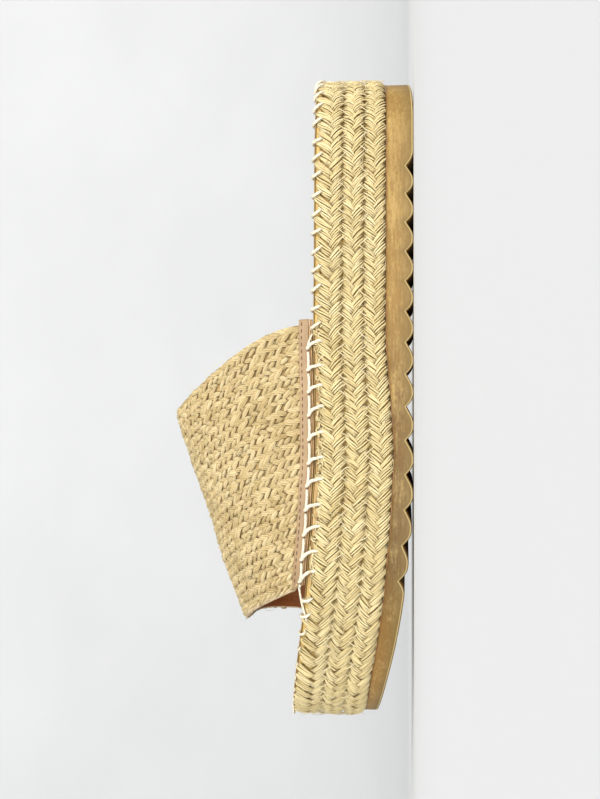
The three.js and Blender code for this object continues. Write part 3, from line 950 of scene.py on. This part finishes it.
def groove_at(index):
    growth = (1 - FIRST_PITCH_TO_LAST) / (1 + FIRST_PITCH_TO_LAST)
    share = index / (GROOVE_COUNT - 1)
    eased = share * (1 - growth) + share * share * growth
    return SHOE_LENGTH * lerp(FIRST_GROOVE, LAST_GROOVE, eased)


def tread_rise(y):
    """Rise of the tread over its line: rounded crests and sharp grooves, flat at the heel and the toe."""
    grooves = groove_at(np.arange(GROOVE_COUNT))
    lug = np.clip(np.searchsorted(grooves, y) - 1, 0, GROOVE_COUNT - 2)
    share = np.clip((y - grooves[lug]) / (grooves[lug + 1] - grooves[lug]), 0, 1)
    warped = share ** (math.log(0.5) / math.log(CREST_PLACE))
    off = np.clip(np.abs(2 * warped - 1) - CREST_FLAT, 0, 1) / (1 - CREST_FLAT)
    rise = GROOVE_DEPTH * off**CREST_ROUNDNESS
    before = np.clip((grooves[0] - y) / GROOVE_RAMP, 0, 1)
    after = np.clip((y - grooves[-1]) / GROOVE_RAMP, 0, 1)
    ramp = GROOVE_DEPTH * (1 - before - after) ** 2
    return np.where((y < grooves[0]) | (y > grooves[-1]), ramp, rise)


def eased_places(heel, toe, count):
    """Places along the shoe that crowd towards its two ends."""
    crowding = 0.65
    share = np.linspace(0, 1, count)
    return lerp(heel, toe, lerp(share, (1 - np.cos(math.pi * share)) / 2, crowding))


def outsole_side(edge, way, centre, low, high, bevel):
    """Lines from the tread's middle out, round the lower edge and up: x, z, under, crest and height."""
    flat_edge = edge - way * bevel
    lines = [(lerp(centre, flat_edge, share), low, 1.0, 0.0, 0.0) for share in (0.0, 0.4, 0.8, 1.0)]
    for angle in np.linspace(0, math.pi / 2, 5)[1:]:
        x = flat_edge + way * bevel * math.sin(angle)
        z = low + bevel * (1 - math.cos(angle))
        turned = angle / (math.pi / 2)
        lines.append((x, z, 1 - 0.8 * turned, max(0.0, 1 - abs(turned - 0.75) * 4), 0.0))
    for share in (0.12, 0.3, 0.5, 0.75, 1.0):
        lines.append((edge, lerp(low + bevel, high, share), 0.2 * (1 - share) ** 2, 0.0, share))
    return lines


def make_outsole():
    ring = Ring(OUTSOLE_INSET)
    grooves = groove_at(np.arange(GROOVE_COUNT))
    y = np.sort(np.concatenate([eased_places(ring.heel, ring.toe, 330), grooves]))
    lateral, medial = ring.reach(y)
    bevel = np.minimum(EDGE_RADIUS, (medial - lateral) / 3)
    low = tread_line(y) + tread_rise(y)
    high = outsole_top(y)
    centre = (lateral + medial) / 2
    lines = outsole_side(medial, 1, centre, low, high, bevel)
    lines += [(lerp(medial, lateral, share), high, 0.0, 0.0, 1.0) for share in (0.25, 0.5, 0.75)]
    lines += outsole_side(lateral, -1, centre, low, high, bevel)[:0:-1]
    loops = np.stack([np.stack([line[0], y, line[1]], -1) for line in lines], 1)
    marks = {}
    for column, name in enumerate(("under", "crest", "height"), 2):
        marks[name] = np.tile([line[column] for line in lines], (len(y), 1))
    # The underside's painted light is made stronger inside the grooves than under the crests.
    in_groove = np.clip((tread_rise(y) - 0.2) / GROOVE_DEPTH, 0, 1)
    marks["under"] = marks["under"] * lerp(0.55, 1, in_groove)[:, None]
    marks["along"] = np.repeat((y / SHOE_LENGTH)[:, None], len(lines), axis=1)
    values = {name: mark.reshape(-1) for name, mark in marks.items()}
    points, faces = loft(loops)
    add_piece("outsole_tread", points, faces, OUTSOLE_RUBBER, ("outsole",), values)


TOP_LINES = 19


def insole_sections(inset, low, high, crown):
    """Sections of a sole layer from heel to toe, with a rounded edge and a crowned top."""
    ring, pad_ring = Ring(inset), Ring(PAD_INSET)
    y = eased_places(ring.heel, ring.toe, 120)
    lateral, medial = ring.reach(y)
    pad_lateral, pad_medial = pad_ring.reach(y)
    has_pad = (y > pad_ring.heel) & (y < pad_ring.toe)
    bottom, top = low(y), high(y)
    bevel = np.minimum(np.minimum(EDGE_RADIUS, (medial - lateral) / 3), (top - bottom) * 0.6)
    width = np.where(has_pad, pad_medial - pad_lateral, 0)
    lift = crown * smooth_step(0, BALL_WIDTH / 2, width)
    corner = 0.3 * bevel
    lines = [(lateral, bottom), (lateral, top - bevel), (lateral + corner, top - corner)]
    for share in np.linspace(0, 1, TOP_LINES):
        x = lerp(lateral + bevel, medial - bevel, share)
        lines.append((x, top + lift * (1 - np.abs(2 * share - 1) ** 3.5)))
    lines += [(medial - corner, top - corner), (medial, top - bevel), (medial, bottom)]
    lines.append(((lateral + medial) / 2, bottom))
    return np.stack([np.stack([x, y, z], -1) for x, z in lines], 1)


def sewn_share(points):
    """1 along the part of the edge that the upper is sewn on, 0 elsewhere."""
    x, y = points[:, 0], points[:, 1]
    front = np.where(x < 0, FRONT_LATERAL, FRONT_MEDIAL) * SHOE_LENGTH
    return smooth_step(-2, 1, y - REAR_BASE * SHOE_LENGTH) * smooth_step(-1, 2, front - y)


def make_insole():
    """Board of the insole and, a little wider, the leather sock on it."""
    sock, sock_overhang, press = 0.45, 0.1, 0.02
    board = insole_sections(INSOLE_INSET, insole_bottom, lambda y: insole_top(y) - sock, 0)
    points, faces = loft(board)
    values = {"sewn": sewn_share(points)}
    add_piece("insole_board", points, faces, BOARD, ("insole",), values)

    def sock_bottom(y):
        return insole_top(y) - sock + press

    top = insole_sections(INSOLE_INSET - sock_overhang, sock_bottom, insole_top, PAD_CROWN)
    points, faces = loft(top)
    line = np.arange(top.shape[1])
    edge = np.where((line < 3) | (line > TOP_LINES + 1), 1.0, 0.0)
    values = {"edge": np.tile(edge, len(top))}
    piece = add_piece("insole_sock", points, faces, SOCK_LEATHER, values=values)


def upper_place(row, over):
    rise = np.sin(math.pi * over)
    rear = REAR_BASE + (REAR_RIDGE - REAR_BASE) * np.clip(rise, 0, 1) ** REAR_CUT_EXPONENT
    front_base = np.where(over < 0.5, FRONT_LATERAL, FRONT_MEDIAL)
    front = front_base + (FRONT_RIDGE - front_base) * rise
    return SHOE_LENGTH * lerp(rear, front, row)


def upper_grid():
    """Grid of points and outward directions of the upper's outer face, by row and share over the arch."""
    rows = np.linspace(-0.08, 1.08, 233)
    overs = np.linspace(0, 1, 201)
    ring = Ring(UPPER_INSET)
    angle = np.linspace(0, math.pi, 73)
    outwards = np.abs(np.cos(angle)) ** (2 / ARCH_FULLNESS)
    upwards = np.clip(np.sin(angle), 0, 1) ** (2 / ARCH_FULLNESS)
    points = np.zeros((len(rows), len(overs), 3))
    for i, row in enumerate(rows):
        y = upper_place(row, overs)
        lateral, medial = ring.reach(y)
        ridge = ridge_across(y / SHOE_LENGTH) * BALL_WIDTH
        height = ridge_rise(y / SHOE_LENGTH) * INSTEP_HEIGHT
        side = np.where(angle[None, :] < math.pi / 2, (lateral - ridge)[:, None], (medial - ridge)[:, None])
        x = ridge[:, None] + side * outwards
        z = upper_base(y)[:, None] + height[:, None] * upwards
        steps = np.hypot(np.diff(x, axis=1), np.diff(z, axis=1))
        lengths = np.concatenate([np.zeros((len(y), 1)), steps.cumsum(axis=1)], axis=1)
        for j, over in enumerate(overs):
            at = over * lengths[j, -1]
            points[i, j] = (np.interp(at, lengths[j], x[j]), y[j], np.interp(at, lengths[j], z[j]))
    across = np.gradient(points, axis=1)
    along = np.gradient(points, axis=0)
    return rows, overs, points, unit(np.cross(across, along))


UPPER_ROWS, UPPER_OVERS, UPPER_POINTS, UPPER_NORMALS = upper_grid()


def on_upper(row, over):
    """Point and outward direction of the upper's outer face."""
    row, over = np.broadcast_arrays(row, over)
    i = (row - UPPER_ROWS[0]) / (UPPER_ROWS[1] - UPPER_ROWS[0])
    j = (over - UPPER_OVERS[0]) / (UPPER_OVERS[1] - UPPER_OVERS[0])
    i0 = np.clip(np.floor(i).astype(int), 0, len(UPPER_ROWS) - 2)
    j0 = np.clip(np.floor(j).astype(int), 0, len(UPPER_OVERS) - 2)
    a = np.clip(i - i0, 0, 1)[..., None]
    b = np.clip(j - j0, 0, 1)[..., None]
    found = []
    for grid in (UPPER_POINTS, UPPER_NORMALS):
        low = lerp(grid[i0, j0], grid[i0, j0 + 1], b)
        high = lerp(grid[i0 + 1, j0], grid[i0 + 1, j0 + 1], b)
        found.append(lerp(low, high, a))
    return found[0], unit(found[1])


def upper_point(row, over, out):
    point, normal = on_upper(row, over)
    return point + normal * np.asarray(out)[..., None]


def add_leaves(strands, half):
    """One half-row of leaf-shaped strands over the arch: flat in the even ones, steep in the odd ones."""
    is_steep = half % 2 == 1
    run, tuck, width = STEEP_LEAF if is_steep else FLAT_LEAF
    slant = 1 if is_steep else -1
    t = np.linspace(-1, 1, 6)[None, None, :]
    yarn = np.array([-1.0, 0.0, 1.0])[None, :, None]
    middle = (half + 0.5) / WEAVE_HALF_ROWS
    lengths = lengths_along(on_upper(middle, UPPER_OVERS)[0])
    covered = STRIP_RISE + STRIP_FRONT_HEIGHT * STRIP_COVER
    finer = lerp(1.0, FRONT_LEAF_SIZE, smooth_step(0.4, 0.8, middle))
    count = int((lengths[-1] - 2 * covered) / (LEAF_PITCH * finer))
    pitch = (lengths[-1] - 2 * covered) / count
    at = covered + (np.arange(count) + (0.25 if is_steep else 0.75)) * pitch
    at = at[:, None, None] + shakes(LEAF_SHAKE.place, count, 1, 1)
    size = 1 + shakes(LEAF_SHAKE.size, count, 1, 1)
    tilt = 1 + shakes(LEAF_SHAKE.tilt, count, 1, 1)
    fat = width * size * (1 - (0.95 * t) ** 2) ** LEAF_FULLNESS
    across = yarn * LEAF_YARN_SPREAD * fat
    length = math.hypot(run, tuck * HALF_ROW)
    along = at + slant * (t * run * finer * size - across * tuck * HALF_ROW / length)
    row = middle + (tuck * t * tilt + across * run / length / HALF_ROW) / WEAVE_HALF_ROWS
    over = np.interp(along, lengths, UPPER_OVERS)
    crest = LEAF_CREST * (0.5 - 0.5 * np.cos(math.pi * row * WEAVE_HALF_ROWS))
    lift = shakes(LEAF_SHAKE.lift, count, 1, 1)
    out = crest + LEAF_ARCH * (1 - t**2) - LEAF_TUCK * t**4 - OUTER_YARN_DROP * yarn**2 + lift - LEAF_SINK
    thick = np.sqrt(1 - t**2)
    radius = LEAF_YARN_RADIUS * lerp(LEAF_END_SIZE, 1, thick) * size
    row, over, out, radius = yarn_by_yarn((count, yarn.size, t.size), row, over, out, radius)
    point, normal = on_upper(np.clip(row, -ROW_OVERHANG, 1 + ROW_OVERHANG), over)
    tone = bundle_tones(count, yarn.size, LEAF_TONE_SHARE)
    # Painted shade: the outward side of each leaf's outer yarns gets a low rise, which the jute material
    # darkens into a dark outline.
    outward = np.tile([slant, 0, -slant], count)[:, None, None]
    is_outer = outward * np.cos(strands.ring) > 0.01
    rise = np.where(is_outer, np.sin(strands.ring), 1.0)
    strands.add(point + normal * out[..., None], normal, radius, tone, twist=LEAF_TWIST, rise=rise)


def make_weave(first, last, name):
    strands = Strands(4)
    for half in range(first, last):
        add_leaves(strands, half)
    strands.piece(name, WEAVE_JUTE, "jute_weave")


def make_shell(name, outer, inner, material):
    """Thin wall of the upper between two depths, open at the toe, at the back and underneath."""
    rim = 0.004
    overs = np.linspace(0, 1, 81)
    loops = []
    for row in np.linspace(-rim, 1 + rim, 49):
        loops.append(np.concatenate([upper_point(row, overs, outer), upper_point(row, overs, inner)[::-1]]))
    points, faces = loft(np.array(loops))
    return add_piece(name, points, faces, material)


def make_rim(name, row, wide, high, depth, material, turns):
    """Bound edge along one cut of the upper: yarns laid round it."""
    yarns, radius, step_in = 6, 0.5, 0.03
    strands = Strands(5)
    over = np.linspace(0.03, 0.97, 300)[None, :]
    angle = 2 * math.pi * (np.arange(yarns)[:, None] / yarns + turns * over)
    point, normal = on_upper(row, over)
    inner, _ = on_upper(abs(row - step_in), over)
    inwards = unit(inner - point)
    inwards = unit(inwards - normal * (inwards * normal).sum(-1, keepdims=True))
    shake = 1 + shakes(0.05, yarns, over.size)
    outward = depth + high * np.sin(angle) * shake
    sideways = 0.35 * wide + wide * np.cos(angle) * shake
    path = point + normal * outward[..., None] + inwards * sideways[..., None]
    facing = normal * np.sin(angle)[..., None] + inwards * np.cos(angle)[..., None]
    strands.add(path, facing, radius, picks(0.1, 1, yarns), twist=0.8)
    strands.piece(name, material, "jute_weave")


def strip_rows(count):
    """Rows along a strip, and its height and the length of the whole arch at each of them."""
    span = (FRONT_LATERAL - REAR_BASE) * SHOE_LENGTH
    share = np.linspace(0, 1, count)
    row = lerp(-STRIP_OVERHANG / span, 1, share)
    height = lerp(STRIP_REAR_HEIGHT, STRIP_FRONT_HEIGHT, share)
    line, _ = on_upper(row[:, None], UPPER_OVERS[None, :])
    total = np.linalg.norm(np.diff(line, axis=1), axis=2).sum(axis=1)
    return row, height, total


def strip_point(is_medial, row, total, rise, out):
    """Point beside the upper's base: rise mm up from the base, out mm out of the upper's face."""
    over = rise / total
    return upper_point(row, 1 - over if is_medial else over, out)


def side_name(is_medial):
    return "medial" if is_medial else "lateral"


def make_strip(is_medial):
    row, height, total = strip_rows(120)
    angle = np.linspace(0, 2 * math.pi, 25)[:-1]
    corner = 0.28
    share = 0.5 - 0.5 * np.sign(np.cos(angle)) * np.abs(np.cos(angle)) ** corner
    face = 0.5 + 0.5 * np.sign(np.sin(angle)) * np.abs(np.sin(angle)) ** (corner * 1.6)
    loops = []
    for s, f in zip(share, face):
        out = CLEARANCE + STRIP_THICKNESS * f + 0.1
        loops.append(strip_point(is_medial, row, total, STRIP_RISE + height * s, out))
    side = side_name(is_medial)
    points, faces = loft(np.stack(loops, 1))
    add_piece(f"strip_{side}_leather", points, faces, STRIP_LEATHER, (f"strip_{side}",))


def make_strip_stitches():
    """Small machine stitches near the upper edge of both strips."""
    pitch, length, radius, share_up = 2.7, 1.35, 0.2, 0.72
    strands = Strands(6)
    row, height, total = strip_rows(400)
    seam = STRIP_RISE + height * share_up
    t = np.linspace(0, 1, 5)[None, :]
    for is_medial in (False, True):
        gone = lengths_along(strip_point(is_medial, row, total, seam, 0))
        starts = np.arange(1.2, gone[-1] - 2, pitch)
        at = starts[:, None] + t * length
        rows, rises, totals = (np.interp(at, gone, values) for values in (row, seam, total))
        out = CLEARANCE + STRIP_THICKNESS + 0.02 + 0.14 * np.sin(math.pi * t)
        path = strip_point(is_medial, rows, totals, rises, out)
        normal = on_upper(rows, 0.95 if is_medial else 0.05)[1]
        strands.add(path, normal, radius, picks(0, 1, len(starts)))
    strands.piece("strip_stitches", MACHINE_THREAD, "strip_leather")


# Thin layers at the upper's base edge: low edge and high edge in mm over the base, mm out, material
EDGE_LAYERS = (
    (-0.3, 0.15, 0.6, EDGE_LEATHER), (0.15, 0.5, 0.85, TAN_LAYER),
    (0.5, 0.85, 0.7, EDGE_LEATHER), (0.85, 1.4, 0.95, TAN_LAYER),
)


def make_edge_layers(is_medial):
    """Thin cut layers that show under each strip."""
    row, _, total = strip_rows(90)
    for number, (low, high, out, material) in enumerate(EDGE_LAYERS, 1):
        ripple = 0.08 * np.sin(np.arange(len(row)) * (0.6 + 0.3 * number))
        corners = ((low, 0.05), (low + 0.05, out + ripple), (high - 0.05, out + ripple), (high, 0.05))
        loops = [strip_point(is_medial, row, total, rise, reach) for rise, reach in corners]
        points, faces = loft(np.stack(loops, 1))
        name = f"edge_layer_{side_name(is_medial)}_{number}"
        add_piece(name, points, faces, material)


def bend_through(points, stations):
    """Smooth path through a few points, for many paths at once: (paths, points, 3)."""
    count = points.shape[1]
    t = np.linspace(0, count - 1, stations)
    i = np.clip(t.astype(int), 0, count - 2)
    s = (t - i)[None, :, None]
    p1, p2 = points[:, i], points[:, i + 1]
    p0 = points[:, np.maximum(i - 1, 0)]
    p3 = points[:, np.minimum(i + 2, count - 1)]
    return 0.5 * (
        2 * p1 + (p2 - p0) * s + (2 * p0 - 5 * p1 + 4 * p2 - p3) * s**2 + (3 * p1 - p0 - 3 * p2 + p3) * s**3
    )


def edge_point(distance, out, over_top):
    """Point beside the plain edge: out mm out of the crest line, over_top mm over the insole's top."""
    flat = outline_at(distance) + outline_outward(distance) * np.asarray(out)[..., None]
    z = insole_top(flat[..., 1]) + np.asarray(over_top)
    return np.concatenate([flat, z[..., None]], -1)


def add_thread(strands, path, normal, radii, tone):
    strands.add(path, normal, radii[0], tone, radii[1], THREAD_TWIST)


def add_plain_stitches(strands, distances, heelwards):
    """Bars over the plain edge, and the runs from one to the next along the insole's top."""
    count = len(distances)
    base = distances + shakes(STITCH_SHAKE.place, count)
    lean = heelwards * (PLAIN_LEAN + shakes(STITCH_SHAKE.lean, count))
    shorter = 1 - TOE_SHORTENING * smooth_step(*SHORTER_STITCHES, outline_at(distances)[:, 1])
    points = [edge_point(base + lean * share, out, over * shorter) for share, out, over in PLAIN_BAR]
    path = bend_through(np.stack(points, 1), 14)
    normal = braid_normal(np.broadcast_to(base[:, None], path.shape[:2]))
    radius = np.linspace(*PLAIN_RADII, path.shape[1])[None, :] * lerp(THINNEST_AT_TOE, 1, shorter[:, None])
    up = np.array([0, 0, 1.0])
    normal = unit(normal + 0.8 * up)
    add_thread(strands, path, normal, (radius, THREAD_FLATNESS * radius), picks(0, 1, count))
    start, end = distances[:-1], distances[1:]
    t = np.linspace(0, 1, 9)[None, :]
    along = start[:, None] + (end - start)[:, None] * t
    sag = np.sin(math.pi * t)
    path = edge_point(along, RUN_DEPTH - 0.4 * sag, -0.2 - 0.1 * sag)
    normal = unit(braid_normal(along) + up)
    add_thread(strands, path, normal, PLAIN_RUN, picks(0, 1, len(start)))


def add_upper_stitches(strands, holes, places, is_medial):
    """Bars from the strip's lower edge down to the braid, joined by runs along that edge."""
    row, _, total = strip_rows(240)
    y_of_row = strip_point(is_medial, row, total, STRIP_RISE, 0)[:, 1]
    face = CLEARANCE + STRIP_THICKNESS
    count = len(places)
    y = places + shakes(STITCH_SHAKE.upper_place, count)
    lean = UPPER_LEAN + shakes(STITCH_SHAKE.lean, count)

    def beside(y, rise, out):
        return strip_point(is_medial, np.interp(y, y_of_row, row), np.interp(y, y_of_row, total), rise, out)

    def on_edge(y, out, over):
        return edge_point(distance_at(y, is_medial), out, over)

    def strip_normal(y):
        return on_upper(np.interp(y, y_of_row, row), 0.97 if is_medial else 0.03)[1]

    bar = [beside(y - lean * share, rise, face + out) for share, rise, out in UPPER_BAR_ON_STRIP]
    bar += [on_edge(y - lean * share, out, over) for share, out, over in UPPER_BAR_ON_BRAID]
    path = bend_through(np.stack(bar, 1), 15)
    bar_normal = braid_normal(distance_at(y - lean, is_medial)[:, None])
    normal = np.broadcast_to(bar_normal, path.shape)
    radius = np.linspace(*UPPER_RADII, path.shape[1])[None, :]
    add_thread(strands, path, normal, (radius, THREAD_FLATNESS * radius), picks(0, 1, count))

    t = np.linspace(0, 1, 11)[None, :]
    wave = np.sin(math.pi * t)
    ends = np.append(y[1:], y[-1] + LAST_RUN)
    along = (y + AFTER_BAR)[:, None] + (ends - y - AFTER_BAR - BEFORE_BAR)[:, None] * t
    bulge, end_dive, sag = 0.3, 0.6, 0.25
    out = face + bulge + bulge * wave - end_dive * (1 - wave) ** 6
    path = beside(along, STRIP_RISE + 0.35 - sag * wave, out)
    add_thread(strands, path, strip_normal(along), UPPER_RUN, picks(0, 1, count))

    rear_link = [beside(y[:1], STRIP_RISE + 0.45, face + 0.45)]
    rear_link += [on_edge(y[:1] + ahead, out, over) for ahead, out, over in REAR_LINK]
    front_link = [beside(y[-1:] + LAST_RUN - BEFORE_BAR, STRIP_RISE + 0.4, face + 0.4)]
    front_link += [on_edge(y[-1:] + ahead, out, over) for ahead, out, over in FRONT_LINK]
    for link in (rear_link, front_link):
        path = bend_through(np.stack(link, 1), 12)
        add_thread(strands, path, np.broadcast_to(bar_normal[:1], path.shape), LINK, 0.5)

    # Painted shade: short dark tubes on the strip's face, just ahead of each bar, stand for the shade inside
    # its needle hole.
    at = (y + HOLE_AHEAD)[:, None] + HOLE_LENGTH * (np.linspace(0, 1, 4)[None, :] - 0.5)
    path = beside(at, STRIP_RISE + 0.3, face + 0.15)
    holes.add(path, strip_normal(at), HOLE[0], 0.0, HOLE[1])


def make_blanket_stitches():
    """White stitches all round, the lower ends of the plain ones leaning towards the heel."""
    strands, holes = Strands(8), Strands(8)
    heel, toe, lateral, medial = STITCHES
    for distances, heelwards in ((heel, 1), (toe, -1)):
        middle = len(distances) // 2 + 1
        add_plain_stitches(strands, distances[:middle], heelwards)
        add_plain_stitches(strands, distances[middle:], -heelwards)
    add_upper_stitches(strands, holes, lateral, False)
    add_upper_stitches(strands, holes, medial, True)
    strands.piece("blanket_stitches", THREAD, "stitch_thread")
    holes.piece("stitch_hole_shade", MACHINE_THREAD)


def make_scraps():
    """Short frayed ends of jute between the braid and the strips."""
    scraps_per_mm = 1.5
    strands = Strands(5)
    t = np.linspace(0, 1, 6)[None, :]
    for is_medial, front in ((False, FRONT_LATERAL), (True, FRONT_MEDIAL)):
        ends = [distance_at(share * SHOE_LENGTH, is_medial) for share in (REAR_BASE, front)]
        low, high = sorted(ends)
        count = round((high - low) * scraps_per_mm)
        start = picks(low, high, count, 1)
        heading = picks(0, 2 * math.pi, count, 1)
        length = picks(1.2, 3.4, count, 1)
        turn = heading + shakes(1.2, count, 1) * t
        distance = start + length * t * np.cos(turn)
        over = picks(-3.6, -1.2, count, 1) + 0.6 * length * t * np.sin(turn)
        out = -1.3 + picks(0, 0.6, count, 1) + 0.7 * np.sin(math.pi * t)
        radius = picks(0.22, 0.4, count, 1) * (1 - 0.4 * t)
        path = edge_point(distance, out, np.clip(over, -4.2, -0.7))
        strands.add(path, braid_normal(distance), radius, picks(0, 1, count), twist=1.0)
    strands.piece("jute_scraps", BRAID_JUTE, "jute_braid")


def curl_hairs(t, heading, shortest, longest):
    """Ways of curved fibres from their starts, in the two directions of their face."""
    count = len(heading)
    length = picks(shortest, longest, count, 1)
    turn = heading + shakes(0.5, count, 1) * t
    return length * t * np.cos(turn), length * t * np.sin(turn)


def stand_off(t, count, sink, highest):
    """How far fibres stand off their face, and their radii."""
    out = sink + picks(0.3, highest, count, 1) * np.sin(math.pi * (0.1 + 0.7 * t))
    return out, picks(0.05, 0.1, count, 1) * (1 - 0.5 * t)


def make_braid_hairs():
    count = 900
    strands = Strands(4)
    t = np.linspace(0, 1, 6)[None, :]
    start = picks(0, GIRTH, count, 1)
    up = picks(0.03, 0.97, count, 1)
    onwards, upwards = curl_hairs(t, picks(0, 2 * math.pi, count, 1), shortest=2.5, longest=9)
    distance = start + onwards
    out, radius = stand_off(t, count, sink=-0.35, highest=1.3)
    path = braid_place(distance, np.clip(up + upwards / BRAID_WIDTH, 0.0, 1.0), out)
    strands.add(path, braid_normal(distance), radius, picks(0.5, 1, count))
    strands.piece("braid_hairs", HAIR_JUTE, "jute_braid")


def make_upper_hairs():
    count = 850
    upper_length, upper_girth = 100, 150
    strands = Strands(4)
    t = np.linspace(0, 1, 6)[None, :]
    row = picks(0.0, 1.0, count, 1)
    over = picks(0.06, 0.94, count, 1)
    heading = math.pi / 2 + shakes(0.9, count, 1)
    onwards, upwards = curl_hairs(t, heading, shortest=3, longest=11)
    rows = np.clip(row + onwards / upper_length, -0.02, 1.02)
    overs = np.clip(over + upwards / upper_girth, 0.05, 0.95)
    out, radius = stand_off(t, count, sink=0.35, highest=1.2)
    point, normal = on_upper(rows, overs)
    strands.add(point + normal * out[..., None], normal, radius, picks(0.5, 1, count))
    strands.piece("upper_hairs", HAIR_JUTE, "jute_weave")


def make_braid():
    make_braid_backing()
    for row, name in enumerate(("braid_row_low", "braid_row_middle", "braid_row_top")):
        make_braid_row(row, name)
    make_seam_threads()


def make_upper():
    """Backing and lining of the upper's wall, the weave on it and the bound edges of its two cuts."""
    backing = make_shell("upper_ground", -0.35, -1.2, WEAVE_GROUND)
    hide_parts("upper")
    make_shell("upper_lining", -1.22, -UPPER_WALL, LINING_LEATHER)
    make_weave(0, WEAVE_HALF_ROWS // 2, "upper_weave_rear")
    make_weave(WEAVE_HALF_ROWS // 2, WEAVE_HALF_ROWS, "upper_weave_front")
    make_rim("rim_front", 1.0, 0.85, 0.6, -0.35, PALE_JUTE, 14)
    make_rim("rim_rear", 0.0, 0.5, 0.75, -0.75, WEAVE_JUTE, 40)


def make_stage():
    """Pale floor that sweeps up to a wall behind the shoe, in metres."""
    near, bend_at, far, bend, wall = -2.2, 1.4, 2.6, 1.2, 2.5
    depth = np.linspace(near, far, 80)
    angle = np.clip((depth - bend_at) / bend, 0, 1) * math.pi / 2
    x = np.where(depth < bend_at, depth, bend_at + bend * np.sin(angle))
    z = np.where(depth < bend_at, 0, bend * (1 - np.cos(angle)))
    x = np.append(x, x[-1])[:, None]
    z = np.append(z, z[-1] + wall)[:, None]
    wide = np.linspace(-4, 4, 5)
    grid = np.stack(np.broadcast_arrays(x, wide, z), -1)
    index = np.arange(grid[..., 0].size).reshape(grid.shape[:2])
    quads = np.stack([index[:-1, :-1], index[1:, :-1], index[1:, 1:], index[:-1, 1:]], -1).reshape(-1, 4)
    mesh = bpy.data.meshes.new("studio_floor")
    mesh.from_pydata(grid.reshape(-1, 3).tolist(), [], quads.tolist())
    mesh.polygons.foreach_set("use_smooth", np.ones(len(mesh.polygons), bool))
    mesh.materials.append(floor_paint())
    link_object("studio_floor", mesh)


def set_pose(made, side, up, back, place):
    """Puts a light or a camera at its place, with its three axes."""
    pose = np.eye(4)
    pose[:3] = np.stack([side, up, back, place], 1)
    made.matrix_world = Matrix(pose.tolist())


def add_light(name, place, aim, size, power, tint=(1, 1, 1)):
    data = bpy.data.lights.new(name, "AREA")
    data.shape = "DISK"
    data.size = size
    data.energy = power
    data.color = tint
    back = unit(np.array(place, float) - np.array(aim, float))
    side = unit(np.cross([0.0, 0.0, 1.0], back))
    set_pose(link_object(name, data), side, np.cross(back, side), back, place)


def make_light():
    world = bpy.data.worlds.new("studio")
    world.use_nodes = True
    ground = next(n for n in world.node_tree.nodes if n.type == "BACKGROUND")
    ground.inputs["Color"].default_value = (0.98, 0.985, 0.99, 1)
    ground.inputs["Strength"].default_value = 0.68
    bpy.context.scene.world = world
    add_light("key", place=(-3.2, -2.0, 1.5), aim=(0, 0, 0.05), size=1.8, power=142, tint=(1, 0.985, 0.96))
    add_light("low", place=(-2.6, 0.3, 0.1), aim=(0, 0, 0.03), size=0.7, power=52)


def make_camera():
    """Long-side view, rolled so that the heel is up and the sole is to the right."""
    data = bpy.data.cameras.new("camera")
    data.sensor_width = 36
    data.lens = 53.3
    data.clip_start = 0.005
    place = np.array([-0.497, 0.0, 0.003])
    aim = np.array([0.0, 0.0, 0.0475])
    forward = unit(aim - place)
    up = np.array([0.0, -1.0, 0.0])
    camera = link_object("camera", data)
    set_pose(camera, np.cross(forward, up), up, -forward, place)
    bpy.context.scene.camera = camera


def finish_core():
    """Gives the platform core, which the other pieces cover, its own foam."""
    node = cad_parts["midsole"]
    node.data.materials.clear()
    node.data.materials.append(foam_paint())


bpy.context.scene.view_settings.view_transform = "Standard"
make_outsole()
make_seam_shade_line()
make_braid()
make_insole()
make_upper()
for is_medial in (False, True):
    make_strip(is_medial)
    make_edge_layers(is_medial)
make_strip_stitches()
make_blanket_stitches()
make_scraps()
make_braid_hairs()
make_upper_hairs()
finish_core()
make_stage()
make_light()
make_camera()
